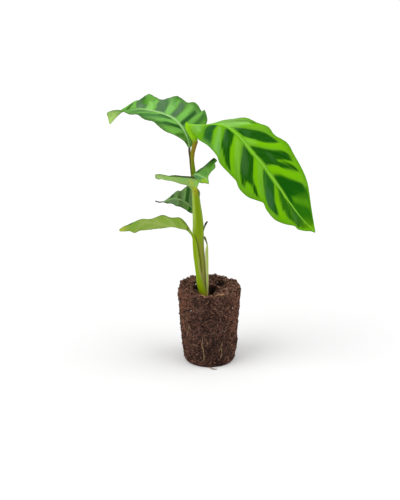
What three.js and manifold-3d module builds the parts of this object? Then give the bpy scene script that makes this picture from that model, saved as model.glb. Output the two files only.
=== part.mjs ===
// A young zebra calathea lifted out of its tray: six leaves on one clump of sheathing stalks,
// rooted in a round plug of coir that stands on its own flat bottom.
// Millimetres, +Z up. The origin is the centre of the plug's flat bottom and -Y faces the viewer.
import * as THREE from 'three';
import Module from 'manifold-3d';

const wasm = await Module();
wasm.setup();

// Driving dimensions
const PLUG_HEIGHT = 60;
const PLUG_TOP_RADIUS = 23.8;
const PLUG_BOTTOM_RADIUS = 19.6;
const PLUG_EDGE = 2; // rounding where the side meets the bottom
const PLUG_SHOULDER = 0.3; // how far the side draws in under the rim
const SHOULDER_HEIGHT = 3;
const PLUG_SWELL = 0.9; // bulge of the left side
const RIM_RISE = 0.2; // the rim's middle height over PLUG_HEIGHT
const TOP_SLOPE = [-0.045, 0.01]; // the rim is higher on the left and at the back
// The dip that the clump stands in, and the smaller one behind it on the right
const HOLLOWS = [
  { centre: [-2, -11], radius: 12, depth: 7 },
  { centre: [8, 5], radius: 6, depth: 4 },
];
// Shares of a hollow's radius where its floor ends and where its slope runs out
const HOLLOW_FLOOR = 0.25;
const HOLLOW_RIM = 1.1;
// Crumbs on the top: the height of each wave, and how fast it runs along x and y
const BROAD_CRUMBS = [0.5, 0.9, 0.8];
const FINE_CRUMBS = [0.35, 1.7, -1.1];
const CLUMP_FOOT = 45; // height at which the stalks end inside the plug
const BLADE_THICKNESS = 0.7;
const RIB_HEIGHT = 0.6; // how far a midrib stands out of the blade's underside
const RIB_REACH = 0.06; // half the midrib's width, as a share of the half blade
const RIB_TAPER = 0.8; // share of the midrib's height that is gone at the tip
const PLEAT_LEAN = 0.04; // how far a pleat leans to the tip, as a share of the blade's length
const CLEARANCE = 0.3; // gap between pieces that touch
const LUMP_SEED = 7;
const LUMP_COUNT = 110;
const LUMP_SIZE = [2.5, 6.5];
const LUMP_RISE = 0.8; // of the plug's lumps, and of its dents
const LUMP_FADE = 4; // height over which they fade toward the flat bottom

// Leaves. Each has three lines from its base to its tip: the midrib and the margins of its two
// halves. A cross line of the blade joins equal shares of the three, along the side veins.
// topSide says on which side of the blade the upper face lies.
const LEAVES = {
  right_leaf: {
    midrib: [
      [-16.5, -4.5, 188.5], [-5.5, -7, 189], [6.5, -9.5, 190], [14, -12, 187.5], [22, -15, 181],
      [30, -18.5, 171.5], [38.5, -21.5, 162], [47.5, -25, 150], [56.5, -28, 137.5],
      [66, -31, 125.5], [76.5, -34, 115.5],
    ],
    near: [
      [-15.5, -5.5, 186.5], [-12, -8, 182.5], [-8.5, -10.5, 178.5], [-2, -13.5, 175],
      [4.5, -16.5, 168.5], [7, -18, 162.5], [14, -20.5, 155.5], [18.5, -22, 151], [20, -23, 147],
      [22.5, -24, 143.5], [28, -25, 139], [34, -26, 137], [38.5, -27, 135.5], [40.5, -28, 131],
      [44, -29, 126.5], [48, -30, 123], [54.5, -31, 120.5], [61, -32, 119.5], [64, -32.5, 117],
      [69, -33, 116], [73, -33.5, 116], [76, -34, 115],
    ],
    far: [
      [-15.5, -3.5, 189], [-9, -0.5, 186], [0, 2.5, 184.5], [8.5, 3.5, 188.5], [15.5, 3.5, 190.5],
      [22, 3, 191.5], [29, 1.5, 191], [36.5, -0.5, 188], [43, -2.5, 185.5], [48, -4.5, 180],
      [56.5, -8, 175], [62, -11.5, 166.5], [68, -16, 155.5], [71, -19.5, 148.5],
      [72.5, -23.5, 139], [74, -28, 129.5], [75.5, -31.5, 120.5], [76.5, -34, 116],
    ],
    topSide: 1, camber: 0.05, pleats: 8, pleatHeight: 0.5, rows: 56,
  },
  left_leaf: {
    midrib: [
      [-15.5, 0, 169.5], [-17.5, 2, 177.5], [-21, 4, 184], [-27, 7, 189.5], [-35, 10, 192.5],
      [-44, 12, 194.5], [-52.5, 13, 195.5], [-61, 13, 194.5], [-67.5, 12, 194], [-71.5, 11, 191.5],
      [-74, 9, 185.5],
    ],
    near: [
      [-16, -0.5, 169.5], [-19.5, -3, 175.5], [-26.5, -6, 181], [-33, -7.5, 184], [-38.5, -8, 189],
      [-42.5, -7.5, 191.5], [-49, -5, 193], [-54, -1, 195], [-60, 4, 194], [-65.5, 9, 195],
      [-70.5, 9.5, 195.5], [-76, 8, 194], [-75.5, 8.5, 190.5], [-74.5, 8.5, 185.5],
    ],
    far: [
      [-14.5, 1, 169.5], [-9, 4, 176], [-4, 7.5, 184], [-2, 9.5, 188.5], [-4, 12.5, 195],
      [-6, 13.5, 193.5], [-9, 15.5, 198], [-12, 17, 200], [-17, 19.5, 199], [-21.5, 21, 202],
      [-25, 22.5, 203.5], [-30.5, 24, 201.5], [-36, 26, 199.5], [-41, 26, 202], [-45, 26, 204],
      [-48, 25, 203], [-52.5, 23, 200.5], [-56, 21, 200], [-58.5, 18.5, 198], [-62, 16, 194.5],
      [-66, 13.5, 192.5], [-69.5, 11.5, 189.5], [-72, 10.5, 187], [-74, 9.5, 185],
    ],
    topSide: -1, camber: 0.06, pleats: 7, pleatHeight: 0.3, rows: 52,
  },
  middle_left_leaf: {
    midrib: [
      [-11, -8, 139.5], [-13.5, -9, 142], [-17, -9.5, 144], [-22, -10.5, 145.5],
      [-27.5, -11, 147.5], [-34, -11, 148.5], [-40.5, -11, 151],
    ],
    near: [
      [-10, -8, 140], [-8.5, -9, 144.5], [-8, -9.5, 148], [-14, -10, 150.5], [-21.5, -12, 151.5],
      [-30, -13, 152], [-37, -12.5, 153], [-40.5, -12, 152.5],
    ],
    far: [
      [-12, -8, 138.5], [-15.5, -7, 141], [-18.5, -4, 145.5], [-22, -1.5, 148.5], [-27.5, -2, 149],
      [-33.5, -6, 148.5], [-37.5, -9.5, 148], [-40.5, -11, 149.5],
    ],
    topSide: -1, camber: 0.05, pleats: 4, pleatHeight: 0.2, rows: 26,
  },
  middle_right_leaf: {
    midrib: [
      [-12, -7, 151], [-9.5, -11, 152.5], [-7, -17, 153], [-4, -22, 153], [-2.5, -27, 153],
      [-1, -31, 151.5],
    ],
    near: [
      [-12.5, -8, 150.5], [-11, -12.5, 150], [-9, -17.5, 149.5], [-7, -22, 149], [-4, -27, 150.5],
      [-1.5, -31.5, 151],
    ],
    far: [
      [-11.5, -6.5, 152.5], [-9.5, -6, 153.5], [-7, -6, 155.5], [-2.5, -6.5, 159], [1.5, -8, 163],
      [3, -9.5, 164.5], [5, -11.5, 163], [3.5, -14, 162], [3.5, -17.5, 159.5], [-0.5, -23, 157],
      [-1.5, -27, 155], [-1, -30.5, 151.5],
    ],
    topSide: 1, camber: 0.05, pleats: 4, pleatHeight: 0.2, rows: 24,
  },
  back_leaf: {
    midrib: [
      [-9, 5.5, 117.5], [-14, 8, 121], [-18, 10, 123.5], [-22.5, 12, 125.5], [-27.5, 13, 126],
      [-32, 13.5, 124.5], [-35, 13, 123.5], [-38.5, 12.5, 123.5], [-41.5, 12, 124.5],
    ],
    near: [
      [-10, 4.5, 116.5], [-15, 4.5, 117.5], [-18.5, 5, 120], [-22, 6, 121.5], [-25.5, 7.5, 122],
      [-28.5, 9.5, 123], [-32.5, 12, 122.5], [-35, 12.5, 123.2], [-38.5, 12.5, 123],
      [-41.5, 12, 124.1],
    ],
    far: [
      [-8.5, 6.5, 118.5], [-10.5, 12, 128.5], [-15, 16.5, 136], [-18.5, 18.5, 133.5],
      [-22, 19, 130.5], [-25, 19, 130.5], [-29.5, 17, 127], [-33, 14.5, 125], [-35, 13.5, 124],
      [-38.5, 12.5, 124], [-41.5, 12, 125],
    ],
    topSide: -1, camber: 0.05, pleats: 4, pleatHeight: 0.2, rows: 26,
  },
  lower_leaf: {
    midrib: [
      [-14, -8, 105.5], [-17, -9, 109], [-23, -10, 111], [-28.5, -11, 112], [-36, -11.5, 113.5],
      [-43, -11.5, 115.5], [-50.5, -11, 116.5], [-58, -10, 114.5], [-63.5, -9.5, 111.5],
      [-68, -8.5, 108],
    ],
    near: [
      [-13.5, -8.5, 106.5], [-16, -11, 111.5], [-19, -13.5, 117], [-22.5, -14.5, 120],
      [-28.5, -15.5, 120.5], [-34.5, -16, 122.5], [-39.5, -15.5, 121], [-45.5, -15, 119],
      [-51.5, -14, 118.5], [-59, -12, 114], [-64, -10.5, 112], [-68, -9, 109],
    ],
    far: [
      [-14.5, -7.5, 104.5], [-17.5, -6, 107], [-22, -5, 108], [-26.5, -4.5, 109], [-31, -4.5, 109],
      [-37, -5, 108.5], [-44, -5.5, 107.5], [-49, -6, 107.5], [-52.5, -6.5, 107],
      [-56.5, -7, 105.5], [-60, -7.5, 107], [-63.5, -8, 107], [-67.5, -8, 107],
    ],
    topSide: -1, camber: 0.06, pleats: 5, pleatHeight: 0.25, rows: 32,
  },
};

// Stalks. Each station is x, y, z, half width, half depth.
const STALKS = {
  main_stem: [
    [-4.2, -5, CLUMP_FOOT, 1.9, 2.4], [-4.4, -5, 52, 2, 2.6], [-4.6, -5, 62, 2.4, 2.9],
    [-5.4, -4.8, 75, 2.4, 3], [-6.3, -4.4, 86, 2.5, 3.1], [-7.5, -4.2, 94, 3.1, 3.3],
    [-8.9, -3.8, 102, 4.3, 3.6], [-8.9, -3.5, 110, 4.1, 3.7], [-9.4, -3.3, 118.5, 3.7, 3.7],
    [-10, -3.2, 125.5, 3.2, 3.7], [-10.5, -3.2, 131.5, 2.9, 3.8], [-11, -3.2, 136.5, 2.6, 3.85],
    [-11.1, -3.2, 139, 2.5, 3.85],
  ],
  lower_sheath: [
    [-4.2, -8.5, CLUMP_FOOT, 1.6, 1.2], [-4.6, -8.6, 55, 2.4, 1.5], [-5.9, -8.5, 60, 2.9, 1.7],
    [-7.3, -8.4, 66.5, 2.85, 1.8], [-8.1, -8.4, 71.5, 2.5, 1.8], [-8.9, -8.4, 76, 2.2, 1.8],
    [-9.7, -8.4, 82.5, 2.2, 1.8], [-10.4, -8.3, 87.5, 2.1, 1.8], [-11.4, -8.2, 96.5, 1.7, 1.6],
    [-12.2, -8.1, 101.5, 1.1, 1.1], [-13.5, -8, 104, 0.7, 0.7],
  ],
  dry_sheath: [
    [-2, -8.2, CLUMP_FOOT, 0.6, 0.6], [-2.1, -8, 53, 0.65, 0.65], [-1.9, -7.8, 64, 0.85, 0.85],
    [-2.2, -7, 80, 1.15, 1.1], [-2.4, -6.2, 90, 1.2, 1], [-2.1, -5.8, 95.5, 0.6, 0.6],
    [-2.9, -5.5, 98.3, 0.6, 0.55], [-3.7, -5.4, 100.6, 0.85, 0.65], [-4.1, -5.4, 102.2, 0.4, 0.4],
  ],
  right_petiole: [
    [-11.1, -3.7, 139.3, 1.45, 1.4], [-11.8, -3.4, 149, 1.4, 1.35], [-12.4, -3.2, 155, 1.35, 1.3],
    [-13, -3, 161, 1.25, 1.25], [-12.8, -2.9, 167, 1.6, 1.5], [-11.7, -2.9, 171.7, 1.7, 1.6],
    [-10.7, -3.1, 175.3, 1.9, 1.7],
  ],
  left_petiole: [
    [-12.4, -0.9, 139.3, 0.8, 0.8], [-13.7, 0, 148.8, 0.75, 0.75], [-14.4, 0.2, 155.6, 0.7, 0.7],
    [-14.9, 0.2, 161.8, 0.7, 0.7], [-15.3, 0.2, 166.5, 0.85, 0.85], [-15.4, 0, 168.6, 0.8, 0.8],
  ],
  middle_petiole: [
    [-10.3, -6.2, 139.3, 0.7, 0.7], [-11.4, -6.3, 144.5, 0.7, 0.7], [-12.6, -6.5, 148, 0.65, 0.65],
    [-12.8, -6.8, 149.6, 0.6, 0.6],
  ],
  back_petiole: [
    [-7, -2.4, 86, 1, 1], [-7.2, -1, 92, 1, 1], [-7.4, 0.6, 98, 0.95, 0.9],
    [-7.6, 2.5, 104.5, 0.85, 0.85], [-8, 4.2, 111, 0.75, 0.75], [-8.9, 5.2, 116.2, 0.7, 0.7],
  ],
};
// The yellow-green joint that carries the right blade on its petiole.
const RIGHT_JOINT = [
  [-10.7, -3.1, 175.6, 1.9, 1.7], [-13.4, -3.8, 181.5, 2.6, 1.5], [-15.8, -4.3, 185.5, 2.4, 1.3],
  [-17, -4.4, 188.2, 1.4, 1], [-17.5, -4.4, 190, 0.5, 0.5],
];
// The withered tip of an old bract on the right of the main stem.
const SPUR = [
  [-5.6, -3.9, 105, 0.8, 0.7], [-4.1, -4.2, 109.4, 0.6, 0.6], [-3.2, -4.4, 111.8, 0.8, 0.7],
  [-1.9, -4.6, 113.8, 0.5, 0.45],
];
const STALK_SIDES = 12;
const ROOT_SIDES = 6;
const STALK_STEP = 3.5; // height between rings of a stalk, roughly

// Roots that show on the plug, from one end to the other: degrees from +X, so that -90 is the
// front, and height
const SURFACE_ROOTS = [
  [[-104, 27], [-105, 20], [-102, 13], [-103, 7], [-100, 3]],
  [[-62, 22], [-66, 17], [-64, 11], [-69, 6]],
  [[-140, 40], [-136, 33], [-139, 26], [-133, 19]],
  [[60, 34], [66, 26], [63, 18], [70, 10], [68, 4]],
  [[130, 25], [124, 19], [127, 12], [121, 6]],
];
const ROOT_RADIUS = 0.65;
// The root tip that creeps out from under the plug's front edge over the surface it stands on
const CREEPING_ROOT = [
  [-1, -17.5, 1.1], [0, -20, 0.75], [1.6, -22.3, 0.6], [4, -23.2, 0.55], [6, -22.6, 0.5],
];
const ROOT_LIFT = 0.05; // between that root and the surface
// The plug's rings: heights on the side, then shares of the radius on the top
const PLUG_SIDES = 48;
const SIDE_HEIGHTS = [0, 0.7, PLUG_EDGE, 5, 9, 13, 17, 21, 25, 29, 33, 37, 41, 45, 49, 53, 56, 58.5];
const TOP_SHARES = [1, 0.93, 0.83, 0.72, 0.6, 0.47, 0.33, 0.18];

function vector(values) {
  return new THREE.Vector3(values[0], values[1], values[2]);
}

function through(stations) {
  return new THREE.CatmullRomCurve3(stations.map(vector), false, 'catmullrom', 0.5);
}

// A solid from points and triangles whose shared corners already share an index
function solidOf(points, triangles) {
  const vertProperties = new Float32Array(points.flatMap((point) => [point.x, point.y, point.z]));
  return new wasm.Manifold(new wasm.Mesh({
    numProp: 3,
    vertProperties,
    triVerts: new Uint32Array(triangles.flat()),
  }));
}

// Rings of equal length joined to one closed skin, each end closed by a fan to its centre
function skinOf(rings, firstCentre, lastCentre) {
  const sides = rings[0].length;
  const points = [...rings.flat(), firstCentre, lastCentre];
  const first = points.length - 2;
  const last = points.length - 1;
  const triangles = [];
  for (let side = 0; side < sides; side += 1) {
    const next = (side + 1) % sides;
    triangles.push([first, next, side]);
    for (let ring = 0; ring < rings.length - 1; ring += 1) {
      const a = ring * sides + side;
      const b = ring * sides + next;
      triangles.push([a, b, b + sides], [a, b + sides, a + sides]);
    }
    const base = (rings.length - 1) * sides;
    triangles.push([base + side, base + next, last]);
  }
  return solidOf(points, triangles);
}

// A tapering stalk of oval section; grow makes it fatter and longer, to cut its socket
function stalkSolid(stations, grow = 0, sides = STALK_SIDES) {
  const path = through(stations);
  const sizes = through(stations.map((station) => [station[3], station[4], 0]));
  const steps = Math.max(4, Math.ceil(path.getLength() / STALK_STEP));
  const rings = [];
  const centres = [];
  for (let step = 0; step <= steps; step += 1) {
    const t = step / steps;
    const centre = path.getPoint(t);
    const along = path.getTangent(t);
    const size = sizes.getPoint(t);
    const across = new THREE.Vector3(0, 1, 0).cross(along).normalize();
    const ahead = along.clone().cross(across);
    const end = step === 0 ? -1 : Number(step === steps);
    centre.addScaledVector(along, end * grow);
    rings.push(Array.from({ length: sides }, (_, side) => {
      const angle = (2 * Math.PI * side) / sides;
      return centre.clone()
        .addScaledVector(across, (size.x + grow) * Math.cos(angle))
        .addScaledVector(ahead, (size.y + grow) * Math.sin(angle));
    }));
    centres.push(centre);
  }
  return skinOf(rings, centres[0], centres[steps]);
}

// The middle surface of a blade: u runs from base to tip, v from the near margin to the far one
function bladeSurface(leaf) {
  const midrib = through(leaf.midrib);
  const near = through(leaf.near);
  const far = through(leaf.far);
  return (u, v) => {
    const reach = Math.abs(v);
    const spine = midrib.getPoint(u);
    const half = (v < 0 ? near : far).getPoint(u).sub(spine);
    const upward = midrib.getTangent(u).cross(half);
    upward.normalize().multiplyScalar(Math.sign(v) * leaf.topSide);
    const arch = 4 * leaf.camber * reach * (1 - reach) * half.length();
    const wave = Math.sin(2 * Math.PI * leaf.pleats * (u - PLEAT_LEAN * reach));
    const pleat = leaf.pleatHeight * wave * reach * Math.sin(Math.PI * u);
    return spine.addScaledVector(half, reach).addScaledVector(upward, arch + pleat);
  };
}

const COLUMNS = [-1, -0.75, -0.5, -0.25, -RIB_REACH, 0, RIB_REACH, 0.25, 0.5, 0.75, 1];

// The blade as a thin solid: both faces have the same triangles, and a rim joins them
function bladeSolid(leaf) {
  const surface = bladeSurface(leaf);
  const wide = COLUMNS.length;
  const middle = [];
  for (let row = 0; row <= leaf.rows; row += 1) {
    COLUMNS.forEach((v) => middle.push(surface(row / leaf.rows, v)));
  }
  const faces = [];
  for (let row = 0; row < leaf.rows; row += 1) {
    for (let column = 0; column < wide - 1; column += 1) {
      const a = row * wide + column;
      faces.push([a, a + 1, a + wide + 1], [a, a + wide + 1, a + wide]);
    }
  }
  const normals = middle.map(() => new THREE.Vector3());
  faces.forEach(([a, b, c]) => {
    const normal = middle[b].clone().sub(middle[a]).cross(middle[c].clone().sub(middle[a]));
    [a, b, c].forEach((corner) => normals[corner].add(normal));
  });
  const upper = [];
  const lower = [];
  middle.forEach((point, index) => {
    const normal = normals[index].normalize();
    const u = Math.floor(index / wide) / leaf.rows;
    const onRib = COLUMNS[index % wide] === 0 ? 1 : 0;
    const below = BLADE_THICKNESS / 2;
    const rib = onRib * RIB_HEIGHT * (1 - RIB_TAPER * u);
    const ribOnUpper = leaf.topSide > 0 ? rib : 0;
    upper.push(point.clone().addScaledVector(normal, below + ribOnUpper));
    lower.push(point.clone().addScaledVector(normal, -below - (rib - ribOnUpper)));
  });
  const count = middle.length;
  const triangles = faces.flatMap(([a, b, c]) => [[a, b, c], [c + count, b + count, a + count]]);
  const rim = [];
  for (let column = 0; column < wide; column += 1) {
    rim.push(column);
  }
  for (let row = 1; row <= leaf.rows; row += 1) {
    rim.push(row * wide + wide - 1);
  }
  for (let column = wide - 2; column >= 0; column -= 1) {
    rim.push(leaf.rows * wide + column);
  }
  for (let row = leaf.rows - 1; row > 0; row -= 1) {
    rim.push(row * wide);
  }
  rim.forEach((corner, index) => {
    const next = rim[(index + 1) % rim.length];
    triangles.push([corner, corner + count, next + count], [corner, next + count, next]);
  });
  return solidOf([...upper, ...lower], triangles);
}

// Repeatable random numbers from 0 to 1
function randomFrom(seed) {
  let state = seed;
  return () => {
    state = (state * 1664525 + 1013904223) % 4294967296;
    return state / 4294967296;
  };
}

// Crumbs and dents of the coir, as soft bumps at random places of the side and top
function plugLumps() {
  const random = randomFrom(LUMP_SEED);
  return Array.from({ length: LUMP_COUNT }, () => ({
    angle: 2 * Math.PI * random(),
    height: PLUG_HEIGHT * random(),
    size: THREE.MathUtils.lerp(LUMP_SIZE[0], LUMP_SIZE[1], random()),
    rise: LUMP_RISE * (2 * random() - 1),
  }));
}

const lumps = plugLumps();

function roughness(angle, height) {
  return lumps.reduce((sum, lump) => {
    const turn = Math.atan2(Math.sin(angle - lump.angle), Math.cos(angle - lump.angle));
    const distance = Math.hypot(turn * PLUG_BOTTOM_RADIUS, height - lump.height);
    return sum + lump.rise * Math.exp(-((distance / lump.size) ** 2));
  }, 0);
}

function plugRadius(angle, height) {
  const share = height / PLUG_HEIGHT;
  const taper = THREE.MathUtils.lerp(PLUG_BOTTOM_RADIUS, PLUG_TOP_RADIUS, share);
  const edge = Math.max(0, 1 - height / PLUG_EDGE);
  const shoulder = Math.max(0, 1 + (height - PLUG_HEIGHT) / SHOULDER_HEIGHT);
  const rough = roughness(angle, height) * Math.min(1, height / LUMP_FADE);
  const swell = PLUG_SWELL * Math.sin(Math.PI * share) * (0.5 - 0.5 * Math.cos(angle));
  return taper + rough + swell - edge ** 2 - PLUG_SHOULDER * shoulder ** 2;
}

function plugTop(x, y) {
  const dip = HOLLOWS.reduce((sum, { centre, radius, depth }) => {
    const away = Math.hypot(x - centre[0], y - centre[1]) / radius;
    return sum + depth * (1 - THREE.MathUtils.smoothstep(away, HOLLOW_FLOOR, HOLLOW_RIM));
  }, 0);
  const slope = TOP_SLOPE[0] * x + TOP_SLOPE[1] * y;
  const broad = BROAD_CRUMBS[0] * Math.sin(BROAD_CRUMBS[1] * x + 1.3) * Math.sin(BROAD_CRUMBS[2] * y);
  const fine = FINE_CRUMBS[0] * Math.sin(FINE_CRUMBS[1] * x + FINE_CRUMBS[2] * y);
  return PLUG_HEIGHT + RIM_RISE + slope + broad + fine - dip;
}

function plugSolid() {
  const angleOf = (side) => (2 * Math.PI * side) / PLUG_SIDES;
  const ringAt = (place) => Array.from({ length: PLUG_SIDES }, (_, side) => place(angleOf(side)));
  const onSide = (height) => ringAt((angle) => {
    const radius = plugRadius(angle, height);
    return vector([radius * Math.cos(angle), radius * Math.sin(angle), height]);
  });
  const onTop = (share) => ringAt((angle) => {
    const radius = share * plugRadius(angle, PLUG_HEIGHT);
    const x = radius * Math.cos(angle);
    const y = radius * Math.sin(angle);
    return vector([x, y, plugTop(x, y)]);
  });
  const rings = [...SIDE_HEIGHTS.map(onSide), ...TOP_SHARES.map(onTop)];
  return skinOf(rings, vector([0, 0, 0]), vector([0, 0, plugTop(0, 0)]));
}

function surfaceRoot(stations) {
  const places = stations.map(([degrees, height]) => {
    const angle = THREE.MathUtils.degToRad(degrees);
    const radius = plugRadius(angle, height);
    return [radius * Math.cos(angle), radius * Math.sin(angle), height, ROOT_RADIUS, ROOT_RADIUS];
  });
  return stalkSolid(places, 0, ROOT_SIDES);
}

function rootPlug() {
  const stations = CREEPING_ROOT.map(([x, y, z]) => [x, y, z, z - ROOT_LIFT, z - ROOT_LIFT]);
  const creeping = stalkSolid(stations, 0, ROOT_SIDES);
  const sockets = ['main_stem', 'lower_sheath', 'dry_sheath'];
  const bare = plugSolid().add(creeping);
  const rooted = SURFACE_ROOTS.reduce((plug, root) => plug.add(surfaceRoot(root)), bare);
  return sockets.reduce((plug, name) => plug.subtract(stalkSolid(STALKS[name], CLEARANCE)), rooted);
}

function stalkPiece(name) {
  const plain = stalkSolid(STALKS[name]);
  if (name === 'main_stem') {
    return plain.add(stalkSolid(SPUR));
  }
  const beside = name === 'dry_sheath' ? ['main_stem', 'lower_sheath'] : ['main_stem'];
  return beside.reduce((solid, other) => solid.subtract(stalkSolid(STALKS[other], CLEARANCE)), plain);
}

function leafPiece(name) {
  const blade = bladeSolid(LEAVES[name]);
  if (name === 'right_leaf') {
    const petiole = stalkSolid(STALKS.right_petiole, CLEARANCE);
    return blade.add(stalkSolid(RIGHT_JOINT).subtract(petiole));
  }
  return blade;
}

function geometryOf(solid) {
  const mesh = solid.getMesh();
  const geometry = new THREE.BufferGeometry();
  const positions = new Float32Array((mesh.vertProperties.length / mesh.numProp) * 3);
  for (let vertex = 0; vertex < positions.length / 3; vertex += 1) {
    for (let axis = 0; axis < 3; axis += 1) {
      positions[vertex * 3 + axis] = mesh.vertProperties[vertex * mesh.numProp + axis];
    }
  }
  geometry.setAttribute('position', new THREE.BufferAttribute(positions, 3));
  geometry.setIndex(new THREE.BufferAttribute(new Uint32Array(mesh.triVerts), 1));
  geometry.computeVertexNormals();
  return geometry;
}

const COLOURS = {
  root_plug: 0x4a352a,
  main_stem: 0x86a022,
  lower_sheath: 0x8ab020,
  dry_sheath: 0xa9b26a,
  right_petiole: 0x9a8a26,
  left_petiole: 0x5b4436,
  middle_petiole: 0xa8b43a,
  back_petiole: 0x7f9a34,
  right_leaf: 0x3f8f1c,
  left_leaf: 0x4c8a48,
  middle_left_leaf: 0x8db45a,
  middle_right_leaf: 0x3f7d3a,
  back_leaf: 0x3c6b34,
  lower_leaf: 0x86a84a,
};

const calathea = new THREE.Group();

function addPiece(name, solid, roughnessValue) {
  const material = new THREE.MeshStandardMaterial({
    color: COLOURS[name],
    roughness: roughnessValue,
    metalness: 0,
    side: THREE.DoubleSide,
  });
  const mesh = new THREE.Mesh(geometryOf(solid), material);
  mesh.name = name;
  calathea.add(mesh);
}

addPiece('root_plug', rootPlug(), 0.95);
Object.keys(STALKS).forEach((name) => addPiece(name, stalkPiece(name), 0.5));
Object.keys(LEAVES).forEach((name) => addPiece(name, leafPiece(name), 0.45));

export default calathea;
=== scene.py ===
"""A young zebra calathea on its coir plug: fine leaves, stalks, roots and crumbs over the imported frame."""
import math

import bpy
import numpy as np
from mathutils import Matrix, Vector, noise


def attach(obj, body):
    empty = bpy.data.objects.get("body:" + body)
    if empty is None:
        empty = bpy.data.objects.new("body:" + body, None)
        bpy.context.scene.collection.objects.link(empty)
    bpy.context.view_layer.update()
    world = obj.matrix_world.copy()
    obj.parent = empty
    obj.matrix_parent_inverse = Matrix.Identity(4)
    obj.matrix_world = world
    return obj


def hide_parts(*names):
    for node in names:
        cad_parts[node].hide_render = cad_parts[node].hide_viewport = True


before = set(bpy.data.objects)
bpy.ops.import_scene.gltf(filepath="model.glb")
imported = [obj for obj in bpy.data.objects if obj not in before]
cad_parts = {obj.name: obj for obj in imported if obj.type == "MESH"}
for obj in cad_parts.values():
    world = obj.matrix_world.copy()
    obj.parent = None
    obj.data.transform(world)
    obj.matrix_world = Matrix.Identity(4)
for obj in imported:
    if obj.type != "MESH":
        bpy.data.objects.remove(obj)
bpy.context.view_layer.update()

MM = 0.001

# Camera: the photograph's viewing angle, with the plant's middle in the middle of the picture
VIEW_ELEVATION = math.radians(20)
VIEW_TARGET = Vector((-7.5, 0, 89.3)) * MM
VIEW_DISTANCE = 950 * MM
LENS = 90


def even_bands(places, half_width, lean):
    """The same plain bands on both halves of a blade, leaning to the tip at the margin."""
    return [
        (half, 90, [(10, place - half_width, place + half_width),
                    (92, place + lean - half_width, place + lean + half_width)])
        for half in (-1, 1) for place in places
    ]


# Leaves, from base to tip. The stations of the midrib and of the margins of the near and the far half
# are in millimetres, and the patterns in hundredths: u from 0 at the base to 100 at the tip, v from -100
# at the near margin over 0 at the midrib to 100 at the far margin. A band or a streak: its half, its
# strength, its two edges in u at some distances from the midrib, and its colour, which a band may lack.
# A spot: u, v, its reach in u and v, its colour and strength. top_side is 1 for a blade that runs to the
# right and -1 to the left. rib is the strength of the midrib's colour, camber the arch of each half as a
# share of its width, skew how far the side veins of the near and the far half lean to the tip, and
# under_cover how strongly the bands show through the underside.
LEAVES = {}

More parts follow.
